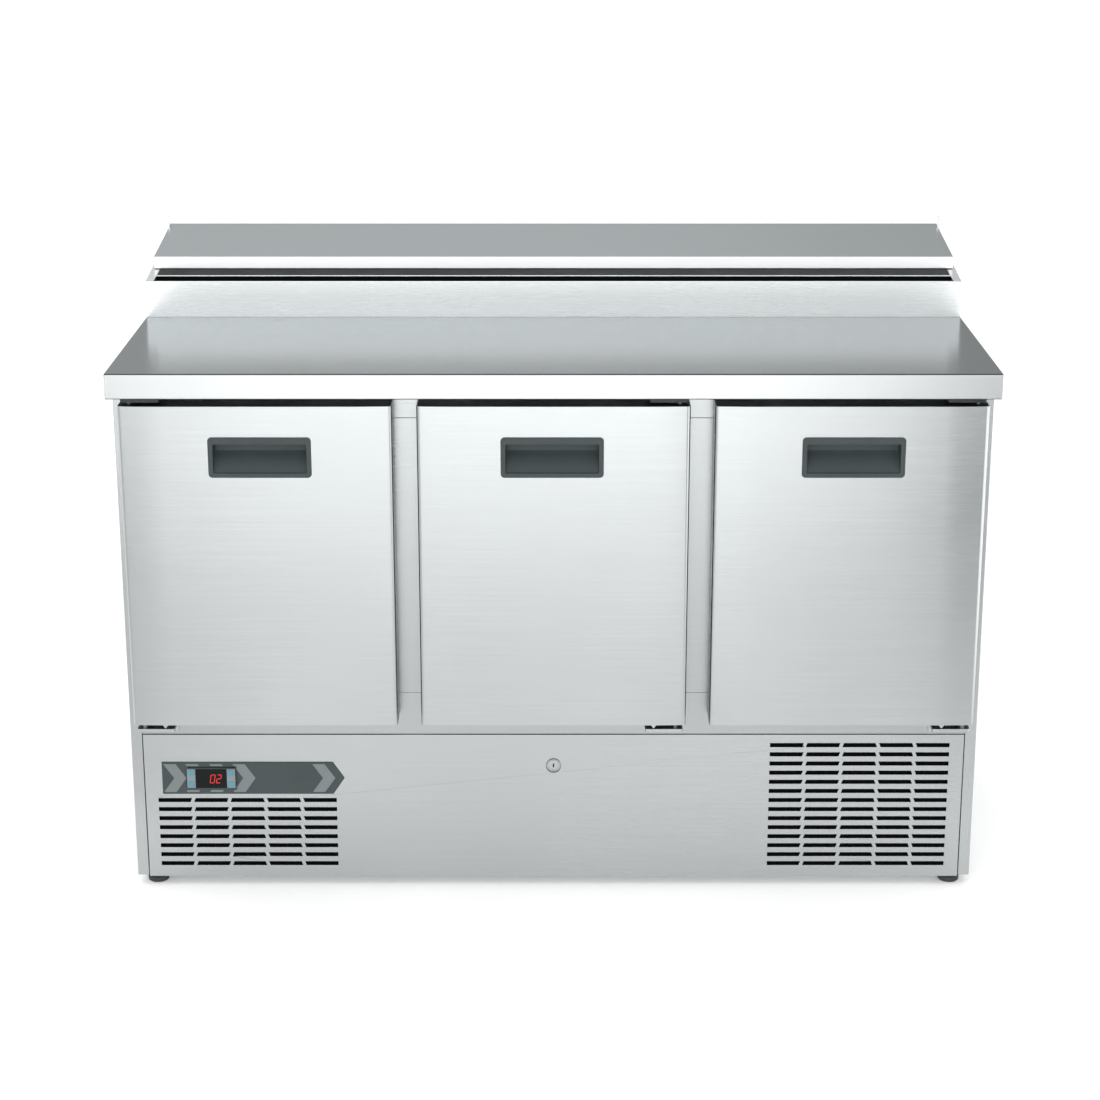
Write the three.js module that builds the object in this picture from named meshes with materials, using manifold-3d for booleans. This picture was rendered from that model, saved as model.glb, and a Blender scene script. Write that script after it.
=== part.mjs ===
// A three-door refrigerated sandwich prep table: a foamed cabinet on adjustable feet, a flat worktop,
// a raised collar that holds small food pans under a hinged lid, and a machine compartment below.
// Millimetres. X runs left to right, Y from the front to the back, Z up from the floor.
// The origin is on the floor under the middle of the table.
import * as THREE from "three";
import { mergeVertices } from "three/addons/utils/BufferGeometryUtils.js";
import Module from "manifold-3d";

const wasm = await Module();
wasm.setup();

// ---- Driving dimensions ----
const WIDTH = 1365;
const DEPTH = 700;
const TOP = 876; // height of the worktop's surface
const GAP = 0.3; // clearance between touching pieces
const SIDE = WIDTH / 2;
const FRONT = -DEPTH / 2;
const BACK = DEPTH / 2;

const worktop = { thick: 40, wellHalf: 655, wellFront: 146, wellBack: 331, edge: 2.5, seam: 0.8 };
worktop.bottom = TOP - worktop.thick;

const body = {
  front: -285, // plane of the door frame, the side panels' edges and the lower panel
  back: 348,
  bottom: 17.8,
  top: worktop.bottom - GAP,
  flange: 18, // width of the side panels' front edges
  wall: 50, // foamed wall
  deckBottom: 266,
  deckTop: 311,
  backBottom: 264,
};
body.inner = SIDE - body.wall;
body.innerBack = body.back - body.wall;
body.bayHalf = SIDE - body.flange - GAP; // half width between the side panels' front edges

const frame = { thick: 30, openTop: 791.6, openBottom: 336.8, openHalf: 179.3, seam: 0.9 };
frame.back = body.front + frame.thick;
const lockTab = { half: 20, front: frame.back - 7, thick: 2.5, bottom: 238 };
const backSheet = { front: 325, thick: 3, bottom: 23, top: 265.5 };
const vents = { x: 300, half: 130, first: 90, pitch: 22, height: 8, rows: 6 };
const tray = { front: -282.2, back: 346, thick: 2.5, lip: 14, lipThick: 2.2 };

const doorPitch = 458;
const door = {
  half: 210.3,
  bottom: 299.8,
  top: 821.5,
  front: -335,
  back: -291,
  skin: 1.5,
  edge: 6, // rounding of the upright front edges
  bossHalf: 166,
  bossDepth: 8,
  bossInset: 14,
  hingeInset: 15.8, // from the door's edge to its hinge axis
  axisY: -313.5,
  pin: 4,
  bush: 4.7,
  pinGrip: 9,
  stop: { inset: 51, half: 4.5, drop: 5.5 }, // the small pointed tab under the hinge side
};

const DOORS = [
  { name: "left", x: -doorPitch, hinge: -1, handle: 6 },
  { name: "middle", x: 0, hinge: 1, handle: -2 },
  { name: "right", x: doorPitch, hinge: 1, handle: 4 },
];

const gasket = { side: 17, bottom: 18, top: 14, width: 13.5, back: -285.4 };
const handle = {
  width: 159,
  height: 64,
  bottom: 709,
  round: 6,
  proud: 1.7,
  tubDepth: 26,
  tubInset: 4,
  wall: 3.5,
  topBand: 11,
  bottomBand: 7,
  slopeTop: 36, // where the pocket's sloped wall meets its back wall
};
const bracket = {
  width: 60,
  thick: 5,
  inset: 4.3,
  front: -328,
  drop: 8.8,
  rise: 4.5,
  flange: 3,
  flangeDown: 14,
  flangeUp: 9,
  pinReach: 7,
};

const shelf = { width: 380, front: -246, back: 282, z: 552.3, thick: 5, wire: 5, across: 9, along: 2 };
const SHELVES = [
  { name: "left", x: -431 },
  { name: "middle", x: 0 },
  { name: "right", x: 431 },
];
const ledge = { thick: 3, rear: 24, side: 14, mullion: 18, mullionInset: 8 };

const collar = {
  front: 70,
  rise: 60,
  slope: 0.108, // rise of the sloped plane for each unit of depth
  skin: 3,
  side: 13.5,
  bedTop: 918,
  backTop: 960.5,
  earTop: 1000,
  earThick: 4,
  earFront: 322,
  earFlat: 8,
  earCorner: [3, 6],
  notchFront: 328,
};
const tilt = Math.atan(collar.slope);
const slopeAt = (y) => TOP + collar.rise + (y - collar.front) * collar.slope;

const channel = { back: 104, wall: 2.5, floor: 3, below: 1.6 };
const panFrame = { front: channel.back, back: 330, skin: 2, lipBottom: collar.bedTop + GAP };
const pan = {
  count: 8,
  pitch: 163,
  rim: 161.4,
  rimDepth: 175,
  rimRound: 13,
  y: 236,
  deep: 100,
  wall: 1.5,
  draft: 6,
  tubInset: 2,
  tubRound: 11,
};
const panHole = { width: 155, depth: 168, round: 12 };
const lid = {
  half: 677.8,
  thick: 20,
  ahead: 198, // from the hinge axis to the front edge
  behind: 8,
  skin: 1.5,
  recess: 4,
  axisY: 338,
  axisZ: 976,
  pin: 3,
  bush: 3.7,
  pinGrip: 7.5,
  pocket: { inset: 6, half: 8, reach: 6.5 }, // the room left in the liner around each pin
};

const evaporatorBox = { half: 300, front: 235, bottom: 640, top: 780, bore: 58, boreDepth: 44 };
const evaporatorSlots = { count: 8, first: 90, pitch: 26, half: 7, depth: 12, inset: 14 };
const evaporatorRotor = { radius: 52, hub: 16, depth: 24, blades: 5, setBack: 22 };
const condenserBox = { x: 495, half: 145, front: -262, back: -222, bottom: 24, top: 250 };
const condenserFins = { half: 6, pitch: 21, slotHalf: 5, depth: 8, inset: 10 };
const condenserRotor = { radius: 86, hub: 24, depth: 22, blades: 5, fromOutlet: 14 };
const shroud = { depth: 32, wall: 2, bore: 92, z: 137 };
const strap = { half: 8, thick: 3, standOff: 10, reach: 105, armHalf: 4 };
const motor = { radius: 32, length: 53 };
const compressorShell = {
  x: 300,
  y: 130,
  sides: 24,
  profile: [
    [0, 0],
    [76, 0],
    [76, 6],
    [70, 8],
    [74, 60],
    [76, 95],
    [66, 125],
    [40, 144],
    [0, 150],
  ],
  plateHalf: [100, 72],
  plateThick: 5,
  feet: 2,
  box: { from: 60, to: 104, half: 28, bottom: 40, top: 100 },
};

const panel = { thick: 2.5, bottom: 15.5, top: 264.5, half: 663.2 };
const grille = {
  top: 246.3,
  pitch: 16,
  slotHeight: 7,
  slotWidth: 53.4,
  columnPitch: 59.2,
  columns: 5,
  left: { x: -643, first: 6, rows: 14 },
  right: { x: 350, first: 0, rows: 14 },
  lean: 2.6,
};
const badge = { left: -635, shoulder: -357.6, tip: -339, bottom: 161.7, top: 217.3, thick: 1 };
const control = {
  x: -555,
  z: 190.3,
  width: 80,
  height: 36,
  round: 2,
  proud: 5,
  depth: 55,
  bodyWidth: 68,
  bodyHeight: 28,
  glass: { half: 25, halfHeight: 16, recess: 0.8 },
};
const button = { size: 10, x: 32, z: 9.8, round: 1.5, proud: 0.8, back: 2.9, pocket: 3.7 };
const lock = {
  z: 211,
  hole: 12.6,
  flange: 14.5,
  flangeThick: 3.2,
  barrel: 9,
  back: -254,
  cam: { half: 7, front: -258.5, thick: 2.5, drop: 8, rise: 41 },
  slot: { half: 3.4, halfHeight: 0.9, depth: 2 },
};
const FEET = [
  ["front_left", -1, -260],
  ["front_right", 1, -260],
  ["rear_left", -1, 312],
  ["rear_right", 1, 312],
];
const foot = {
  x: 653,
  sides: 20,
  profile: [
    [0, 0],
    [15.5, 0],
    [17, 1.5],
    [17, 8],
    [14.5, 10.5],
    [12, 11],
    [12, body.bottom - GAP],
    [0, body.bottom - GAP],
  ],
};
const gland = { x: -560, z: 70, nut: 13, nutBack: 334, cap: 9, capBack: 347, bore: 4, boreFront: 330 };

// ---- Materials ----
const metal = (color, roughness) => new THREE.MeshStandardMaterial({ color, roughness, metalness: 1 });
const plastic = (color, roughness) => new THREE.MeshStandardMaterial({ color, roughness, metalness: 0 });
const MATERIALS = {
  steel: metal(0xc9cecf, 0.34),
  worktop: metal(0xa9b1b1, 0.26),
  panSteel: metal(0xbfc4c5, 0.22),
  zinc: metal(0x9ea3a5, 0.45),
  coil: plastic(0x2c2d2e, 0.6),
  blackPlastic: plastic(0x101212, 0.55),
  handlePlastic: plastic(0x474e50, 0.5),
  liner: plastic(0x16191a, 0.5),
  gasket: plastic(0x2a2d2e, 0.8),
  badge: plastic(0x50585a, 0.4),
  control: plastic(0x262b2d, 0.3),
  pad: plastic(0x6aa2b8, 0.45),
  wire: metal(0xb4b8b9, 0.35),
  enamel: plastic(0x1b1c1d, 0.5),
  rubber: plastic(0x34393a, 0.7),
};

// ---- Solids ----
// A closed three.js geometry as a solid that can be joined and cut.
function solid(geometry) {
  const bare = geometry.index ? geometry.toNonIndexed() : geometry.clone();
  bare.deleteAttribute("normal");
  bare.deleteAttribute("uv");
  const merged = mergeVertices(bare, 1e-4);
  return new wasm.Manifold(
    new wasm.Mesh({
      numProp: 3,
      vertProperties: merged.attributes.position.array,
      triVerts: new Uint32Array(merged.index.array),
    }),
  );
}

const join = (parts) => parts.reduce((whole, part) => whole.add(part));
const cut = (whole, tools) => tools.reduce((left, tool) => left.subtract(tool), whole);

// A block between two limits along each axis.
function block([x0, x1], [y0, y1], [z0, z1]) {
  const geometry = new THREE.BoxGeometry(x1 - x0, y1 - y0, z1 - z0);
  geometry.translate((x0 + x1) / 2, (y0 + y1) / 2, (z0 + z1) / 2);
  return solid(geometry);
}

// An outline swept along an axis. The outline's own axes are Y and Z for "x", X and Z for "y", and X and Y
// for "z".
function sweep(axis, shape, from, to, curveSegments = 4) {
  const geometry = new THREE.ExtrudeGeometry(shape, { depth: to - from, bevelEnabled: false, curveSegments });
  if (axis === "x") {
    geometry.rotateZ(Math.PI / 2);
    geometry.rotateY(Math.PI / 2);
    geometry.translate(from, 0, 0);
  } else if (axis === "y") {
    geometry.rotateX(Math.PI / 2);
    geometry.translate(0, to, 0);
  } else {
    geometry.translate(0, 0, from);
  }
  return solid(geometry);
}

const outline = (points) => new THREE.Shape(points.map(([u, v]) => new THREE.Vector2(u, v)));

function ellipse(u, v, radius) {
  const shape = new THREE.Shape();
  shape.absarc(u, v, radius, 0, 2 * Math.PI, false);
  return shape;
}

// A round bar along an axis, with its centre at (u, v).
function rod(axis, u, v, radius, from, to, sides = 16) {
  return sweep(axis, ellipse(u, v, radius), from, to, sides);
}

// An outline of [radius, height] pairs turned about Z.
function turned(profile, sides) {
  const points = profile.map(([r, z]) => new THREE.Vector2(r, z));
  const geometry = new THREE.LatheGeometry(points, sides);
  geometry.rotateX(Math.PI / 2);
  return solid(geometry);
}

// A rectangle with rounded corners.
function rounded(u0, u1, v0, v1, radius) {
  const shape = new THREE.Shape();
  shape.absarc(u1 - radius, v0 + radius, radius, -Math.PI / 2, 0, false);
  shape.absarc(u1 - radius, v1 - radius, radius, 0, Math.PI / 2, false);
  shape.absarc(u0 + radius, v1 - radius, radius, Math.PI / 2, Math.PI, false);
  shape.absarc(u0 + radius, v0 + radius, radius, Math.PI, 1.5 * Math.PI, false);
  return shape;
}

// A span on one side of the middle, given by its distances from the middle.
const span = (side, from, to) => (side < 0 ? [-to, -from] : [from, to]);

// A solid as a named mesh in a parent group.
function place(name, made, material, parent) {
  const { vertProperties, triVerts } = made.getMesh();
  const geometry = new THREE.BufferGeometry();
  geometry.setAttribute("position", new THREE.BufferAttribute(new Float32Array(vertProperties), 3));
  geometry.setIndex(new THREE.BufferAttribute(new Uint32Array(triVerts), 1));
  const flat = geometry.toNonIndexed();
  flat.computeVertexNormals();
  const mesh = new THREE.Mesh(flat, material.clone());
  mesh.name = name;
  parent.add(mesh);
  return mesh;
}

const group = new THREE.Group();
group.name = "prep_table";

// ---- Cabinet ----
// One foamed side wall with its outer skin, a leg down past the machine compartment and a shelf runner.
function sidePanel(side) {
  const skin = block(span(side, SIDE - body.flange, SIDE), [body.front, body.back], [body.bottom, body.top]);
  const foam = block(
    span(side, body.inner, SIDE - body.flange + 1),
    [frame.back + GAP, body.back],
    [body.deckBottom, body.top],
  );
  const runner = block(
    span(side, body.inner - ledge.side, body.inner + 1),
    [shelf.front, body.innerBack - ledge.rear - 1],
    [shelf.z - GAP - ledge.thick, shelf.z - GAP],
  );
  return join([skin, foam, runner]);
}

// The door frame: one ring with two uprights between the doors, a seam at each joint of upright and rail,
// a ledge behind each upright for the shelves, and the tab that the service panel's lock hooks behind.
function doorFrame() {
  const ring = block([-body.bayHalf, body.bayHalf], [body.front, frame.back], [body.deckBottom, body.top]);
  const openings = DOORS.map(({ x }) =>
    block(
      [x - frame.openHalf, x + frame.openHalf],
      [body.front - 1, frame.back + 1],
      [frame.openBottom, frame.openTop],
    ),
  );
  const seams = [];
  const ledges = [];
  for (const side of [-1, 1]) {
    const middle = (side * doorPitch) / 2;
    const half = doorPitch / 2 - frame.openHalf;
    for (const z of [frame.openTop, frame.openBottom]) {
      seams.push(
        block(
          [middle - half - 1, middle + half + 1],
          [body.front - 1, body.front + frame.seam],
          [z - frame.seam / 2, z + frame.seam / 2],
        ),
      );
    }
    ledges.push(
      block(
        [middle - half + ledge.mullionInset, middle + half - ledge.mullionInset],
        [frame.back - 1, frame.back + ledge.mullion],
        [shelf.z - GAP - ledge.thick, shelf.z - GAP],
      ),
    );
  }
  const tab = block(
    [-lockTab.half, lockTab.half],
    [lockTab.front, lockTab.front + lockTab.thick],
    [lockTab.bottom, body.deckBottom + 1],
  );
  return join([cut(ring, [...openings, ...seams]), ...ledges, tab]);
}

// The foamed back wall, with the ledge for the shelves and, below the deck, a thin sheet with vents.
function backPanel() {
  const across = [-body.inner + GAP, body.inner - GAP];
  const slab = block(across, [body.innerBack, body.back], [body.backBottom, body.top]);
  const rail = block(
    across,
    [body.innerBack - ledge.rear, body.innerBack + 1],
    [shelf.z - GAP - ledge.thick, shelf.z - GAP],
  );
  const depth = [backSheet.front, backSheet.front + backSheet.thick];
  const sheet = block([-body.bayHalf, body.bayHalf], depth, [backSheet.bottom, backSheet.top]);
  const through = [depth[0] - 1, depth[1] + 1];
  const slots = [];
  for (const x of [-vents.x, vents.x]) {
    for (let row = 0; row < vents.rows; row += 1) {
      const z = vents.first + row * vents.pitch;
      slots.push(block([x - vents.half, x + vents.half], through, [z, z + vents.height]));
    }
  }
  return join([slab, rail, cut(sheet, slots)]);
}

// The tray that carries the machine compartment, with a turned-up edge at the front and the back.
function baseTray() {
  const across = [-body.bayHalf, body.bayHalf];
  const floor = block(across, [tray.front, tray.back], [body.bottom, body.bottom + tray.thick]);
  const lips = [
    [tray.front, tray.front + tray.lipThick],
    [tray.back - tray.lipThick, tray.back],
  ].map((depth) => block(across, depth, [body.bottom, body.bottom + tray.lip]));
  return join([floor, ...lips]);
}

// The worktop, open under the pans, with a narrow seam where the collar stands on it.
function worktopSlab() {
  const { edge } = worktop;
  const profile = new THREE.Shape();
  profile.moveTo(BACK, worktop.bottom);
  profile.lineTo(BACK, TOP);
  profile.absarc(FRONT + edge, TOP - edge, edge, Math.PI / 2, Math.PI, false);
  profile.absarc(FRONT + edge, worktop.bottom + edge, edge, Math.PI, 1.5 * Math.PI, false);
  const slab = sweep("x", profile, -SIDE, SIDE, 3);
  const well = block(
    [-worktop.wellHalf, worktop.wellHalf],
    [worktop.wellFront, worktop.wellBack],
    [worktop.bottom - 1, TOP + 1],
  );
  const seam = block(
    [-SIDE - 1, SIDE + 1],
    [collar.front - worktop.seam, collar.front],
    [TOP - worktop.seam / 2, TOP + 1],
  );
  return cut(slab, [well, seam]);
}

// ---- Collar, pan frame and pans ----
// A foamed bed around the well, with a front skin, sloped side walls, a back wall, and an ear with a pin
// for the lid at each rear corner.
function collarRing() {
  const bed = cut(block([-SIDE, SIDE], [collar.front, BACK], [TOP + GAP, collar.bedTop]), [
    block(
      [-worktop.wellHalf, worktop.wellHalf],
      [worktop.wellFront, worktop.wellBack],
      [TOP, collar.bedTop + 1],
    ),
  ]);
  const below = collar.bedTop - 1;
  const skin = sweep(
    "x",
    outline([
      [collar.front, below],
      [collar.front + collar.skin, below],
      [collar.front + collar.skin, slopeAt(collar.front + collar.skin)],
      [collar.front, slopeAt(collar.front)],
    ]),
    -SIDE,
    SIDE,
  );
  const backWall = block([-SIDE, SIDE], [BACK - collar.skin, BACK], [below, collar.backTop]);
  const parts = [bed, skin, backWall];
  const wall = outline([
    [collar.front, below],
    [BACK, below],
    [BACK, collar.backTop],
    [collar.notchFront, collar.backTop],
    [collar.notchFront, slopeAt(collar.notchFront)],
    [collar.front, slopeAt(collar.front)],
  ]);
  const [cornerDepth, cornerDrop] = collar.earCorner;
  const ear = outline([
    [collar.earFront, below],
    [BACK, below],
    [BACK, collar.earTop - cornerDrop],
    [BACK - cornerDepth, collar.earTop],
    [BACK - collar.earFlat, collar.earTop],
    [collar.earFront, slopeAt(collar.earFront)],
  ]);
  const pinFrom = SIDE - collar.earThick - lid.pinGrip;
  for (const side of [-1, 1]) {
    parts.push(
      sweep("x", wall, ...span(side, SIDE - collar.side, SIDE)),
      sweep("x", ear, ...span(side, SIDE - collar.earThick, SIDE)),
      rod("x", lid.axisY, lid.axisZ, lid.pin, ...span(side, pinFrom, SIDE - 1), 3),
    );
  }
  return join(parts);
}

// The black plastic channel between the collar's front skin and the pan frame.
function collarChannel() {
  const half = SIDE - collar.side - GAP;
  const y0 = collar.front + collar.skin + GAP;
  const y1 = channel.back - GAP;
  const z0 = collar.bedTop + GAP;
  const shape = outline([
    [y0, z0],
    [y1, z0],
    [y1, slopeAt(y1) - channel.below],
    [y1 - channel.wall, slopeAt(y1) - channel.below],
    [y1 - channel.wall, z0 + channel.floor],
    [y0 + channel.wall, z0 + channel.floor],
    [y0 + channel.wall, slopeAt(y0) - channel.below],
    [y0, slopeAt(y0) - channel.below],
  ]);
  return sweep("x", shape, -half, half);
}

// The sloped sheet that the pans hang in, with its edges turned down to the collar's bed.
function panFrameSheet() {
  const half = SIDE - collar.side - GAP;
  const { front, back, skin, lipBottom } = panFrame;
  const outer = outline([
    [front, lipBottom],
    [back, lipBottom],
    [back, slopeAt(back)],
    [front, slopeAt(front)],
  ]);
  const inner = outline([
    [front + skin, lipBottom - 1],
    [back - skin, lipBottom - 1],
    [back - skin, slopeAt(back - skin) - skin],
    [front + skin, slopeAt(front + skin) - skin],
  ]);
  const sheet = cut(sweep("x", outer, -half, half), [sweep("x", inner, -half + skin, half - skin)]);
  const { width, depth, round } = panHole;
  const punch = sweep("z", rounded(-width / 2, width / 2, -depth / 2, depth / 2, round), -9, 9, 2);
  const holes = panCentres().map((x) =>
    punch.rotate([(tilt * 180) / Math.PI, 0, 0]).translate([x, pan.y, slopeAt(pan.y)]),
  );
  return cut(sheet, holes);
}

const panCentres = () => Array.from({ length: pan.count }, (_, i) => (i - (pan.count - 1) / 2) * pan.pitch);

// A food pan around its own origin, the middle of its rim's underside.
function foodPan() {
  const half = { x: panHole.width / 2 - pan.tubInset, y: panHole.depth / 2 - pan.tubInset };
  const tub = (inset, from, to) => {
    const u = half.x - inset;
    const v = half.y - inset;
    const geometry = new THREE.ExtrudeGeometry(rounded(-u, u, -v, v, pan.tubRound), {
      depth: to - from,
      bevelEnabled: false,
      curveSegments: 2,
    });
    geometry.translate(0, 0, from);
    const at = geometry.attributes.position;
    for (let i = 0; i < at.count; i += 1) {
      const narrow = 1 - ((pan.draft / half.x) * Math.max(0, -at.getZ(i))) / pan.deep;
      at.setXYZ(i, at.getX(i) * narrow, at.getY(i) * narrow, at.getZ(i));
    }
    return solid(geometry);
  };
  const rimShape = rounded(-pan.rim / 2, pan.rim / 2, -pan.rimDepth / 2, pan.rimDepth / 2, pan.rimRound);
  const rim = sweep("z", rimShape, 0, pan.wall, 2);
  const outside = tub(0, -pan.deep, pan.wall / 3);
  const inside = tub(pan.wall, -pan.deep + pan.wall, pan.wall + 1);
  return cut(join([rim, outside]), [inside]);
}

// ---- Lid: both pieces are made around the hinge axis, lying flat ----
// A slab of the lid's plan, inset from its edges. The front face leans back so that it stands upright
// once the lid rests on its slope.
function lidSlab(inset, from, to) {
  const { half, ahead, behind } = lid;
  const frontAt = (z) => -ahead + inset + z * collar.slope;
  const section = outline([
    [frontAt(from), from],
    [behind - inset, from],
    [behind - inset, to],
    [frontAt(to), to],
  ]);
  return sweep("x", section, -half + inset, half - inset);
}

function lidShell() {
  const { half, thick, skin } = lid;
  const shell = lidSlab(0, -thick / 2, thick / 2);
  const hollow = lidSlab(skin, -thick / 2 - 1, thick / 2 - skin);
  return cut(shell, [hollow, rod("x", 0, 0, lid.bush, -half - 1, half + 1, 3)]);
}

function lidLiner() {
  const { half, thick, behind, skin, recess, pocket } = lid;
  const inset = skin + GAP;
  const pockets = [-1, 1].map((side) => {
    const middle = side * (half - pocket.inset);
    return block(
      [middle - pocket.half, middle + pocket.half],
      [-pocket.reach, behind + 1],
      [-thick, pocket.reach],
    );
  });
  return cut(lidSlab(inset, -thick / 2 + recess, thick / 2 - inset), pockets);
}

// ---- Doors: each door's pieces are made around its own centre line ----
function doorProfile(inset, front, back, round) {
  const u = door.half - inset;
  const shape = new THREE.Shape();
  shape.moveTo(u, back);
  shape.lineTo(-u, back);
  shape.absarc(-u + round, front + round, round, Math.PI, 1.5 * Math.PI, false);
  shape.absarc(u - round, front + round, round, 1.5 * Math.PI, 2 * Math.PI, false);
  return shape;
}

// The hole for a handle's tub, with a little room around it.
function handleHole(shift) {
  const { width, height, bottom, tubInset, tubDepth } = handle;
  const room = 0.5;
  const half = width / 2 - tubInset + room;
  return block(
    [shift - half, shift + half],
    [door.front - 1, door.front + tubDepth + room],
    [bottom + tubInset - room, bottom + height - tubInset + room],
  );
}

function doorSkin(shift, hinge) {
  const outer = sweep("z", doorProfile(0, door.front, door.back, door.edge), door.bottom, door.top, 4);
  const inner = sweep(
    "z",
    doorProfile(door.skin, door.front + door.skin, door.back + 5, door.edge - door.skin),
    door.bottom - 1,
    door.top + 1,
    4,
  );
  const stopX = hinge * (door.half - door.stop.inset);
  const tab = sweep(
    "y",
    outline([
      [stopX, door.bottom - door.stop.drop],
      [stopX + door.stop.half, door.bottom + 0.5],
      [stopX - door.stop.half, door.bottom + 0.5],
    ]),
    door.front,
    door.front + door.skin,
  );
  return cut(join([outer, tab]), [inner, handleHole(shift)]);
}

function doorLiner(shift, hingeX) {
  const inset = door.skin + GAP;
  const core = sweep(
    "z",
    doorProfile(inset, door.front + inset, door.back, door.edge - inset),
    door.bottom + 0.4,
    door.top - 0.4,
    3,
  );
  const boss = block(
    [-door.bossHalf, door.bossHalf],
    [door.back - 1, door.back + door.bossDepth],
    [frame.openBottom + door.bossInset, frame.openTop - door.bossInset],
  );
  const bushes = [
    [door.bottom - 1, door.bottom + door.pinGrip],
    [door.top - door.pinGrip, door.top + 1],
  ].map(([from, to]) => rod("z", hingeX, door.axisY, door.bush, from, to, 4));
  return cut(join([core, boss]), [handleHole(shift), ...bushes]);
}

function doorGasket() {
  const u = door.half - gasket.side;
  const low = door.bottom + gasket.bottom;
  const high = door.top - gasket.top;
  const depth = [door.back + GAP, gasket.back];
  const ring = block([-u, u], depth, [low, high]);
  const hole = block(
    [-u + gasket.width, u - gasket.width],
    [depth[0] - 1, depth[1] + 1],
    [low + gasket.width, high - gasket.width],
  );
  return cut(ring, [hole]);
}

// A recessed pull: a bezel, and a pocket whose back wall slopes in from the bottom and reaches up behind
// the top band.
function doorHandle() {
  const { width, height, bottom, round, proud, tubDepth, tubInset, wall, topBand, bottomBand } = handle;
  const top = bottom + height;
  const face = door.front - GAP - proud;
  const bezel = sweep("y", rounded(-width / 2, width / 2, bottom, top, round), face, door.front - GAP, 3);
  const tubHalf = width / 2 - tubInset;
  const tub = block(
    [-tubHalf, tubHalf],
    [door.front - GAP - 1, door.front + tubDepth - 0.5],
    [bottom + tubInset, top - tubInset],
  );
  const pocketBack = door.front + tubDepth - 2.5;
  const pocketTop = top - tubInset - 2;
  const pocket = sweep(
    "x",
    outline([
      [face - 1, bottom + bottomBand],
      [door.front + 1.5, bottom + bottomBand],
      [pocketBack, bottom + handle.slopeTop],
      [pocketBack, pocketTop],
      [door.front + 3, pocketTop],
      [door.front + 1, top - topBand],
      [face - 1, top - topBand],
    ]),
    -tubHalf + wall,
    tubHalf - wall,
  );
  return cut(join([bezel, tub]), [pocket]);
}

// A hinge bracket: a plate with a pin, and a flange against the door frame. Direction 1 is the lower one.
function hingeBracket(side, plateZ, direction) {
  const { width, thick, inset, front, flange, flangeDown, flangeUp, pinReach } = bracket;
  const across = span(side, door.half - inset - width, door.half - inset);
  const back = body.front - GAP;
  const plate = block(across, [front, back], [plateZ, plateZ + thick]);
  const lower = direction > 0;
  const flangeSpan = lower ? [plateZ - flangeDown, plateZ + 1] : [plateZ + thick - 1, plateZ + flangeUp];
  const pinSpan = lower ? [plateZ + 1, door.bottom + pinReach] : [door.top - pinReach, plateZ + 1];
  const pin = rod("z", side * (door.half - door.hingeInset), door.axisY, door.pin, ...pinSpan, 4);
  return join([plate, block(across, [back - flange, back], flangeSpan), pin]);
}

// ---- Shelf, cooling and machine compartment ----
function wireShelf() {
  const half = shelf.width / 2;
  const plate = block([-half, half], [shelf.front, shelf.back], [shelf.z, shelf.z + shelf.thick]);
  const holes = [];
  const stepX = (shelf.width - shelf.wire) / shelf.across;
  const stepY = (shelf.back - shelf.front - shelf.wire) / shelf.along;
  for (let i = 0; i < shelf.across; i += 1) {
    for (let j = 0; j < shelf.along; j += 1) {
      const x0 = -half + shelf.wire + i * stepX;
      const y0 = shelf.front + shelf.wire + j * stepY;
      holes.push(
        block(
          [x0, x0 + stepX - shelf.wire],
          [y0, y0 + stepY - shelf.wire],
          [shelf.z - 1, shelf.z + shelf.thick + 1],
        ),
      );
    }
  }
  return cut(plate, holes);
}

// A fan rotor on its own origin, turning about Y.
function fanRotor({ radius, hub, depth, blades }) {
  const chord = 0.26 * radius;
  const pitch = 28;
  const blade = block([-chord, chord], [-1, 1], [0.8 * hub, radius]).rotate([0, 0, pitch]);
  const parts = [rod("y", 0, 0, hub, -depth / 2, depth / 2, 6)];
  for (let i = 0; i < blades; i += 1) {
    parts.push(blade.rotate([0, (360 * i) / blades, 0]));
  }
  return join(parts);
}

function evaporatorBlock() {
  const { half, front, bottom, top, bore, boreDepth } = evaporatorBox;
  const { count, first, pitch, half: slotHalf, depth, inset } = evaporatorSlots;
  const middle = (bottom + top) / 2;
  const casing = block([-half, half], [front, body.innerBack - GAP], [bottom, top]);
  const slots = [];
  for (const side of [-1, 1]) {
    for (let i = 0; i < count; i += 1) {
      const x = side * (first + i * pitch);
      slots.push(
        block([x - slotHalf, x + slotHalf], [front - 1, front + depth], [bottom + inset, top - inset]),
      );
    }
  }
  return cut(casing, [rod("y", 0, middle, bore, front - 1, front + boreDepth, 6), ...slots]);
}

function condenserBlock() {
  const { x, half, front, back, bottom, top } = condenserBox;
  const coil = block([x - half, x + half], [front, back], [bottom, top]);
  const { pitch, slotHalf, depth, inset } = condenserFins;
  const slots = [];
  for (let i = -condenserFins.half; i <= condenserFins.half; i += 1) {
    const middle = x + i * pitch;
    slots.push(
      block(
        [middle - slotHalf, middle + slotHalf],
        [front - 1, front + depth],
        [bottom + inset, top - inset],
      ),
    );
  }
  return cut(coil, slots);
}

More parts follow.
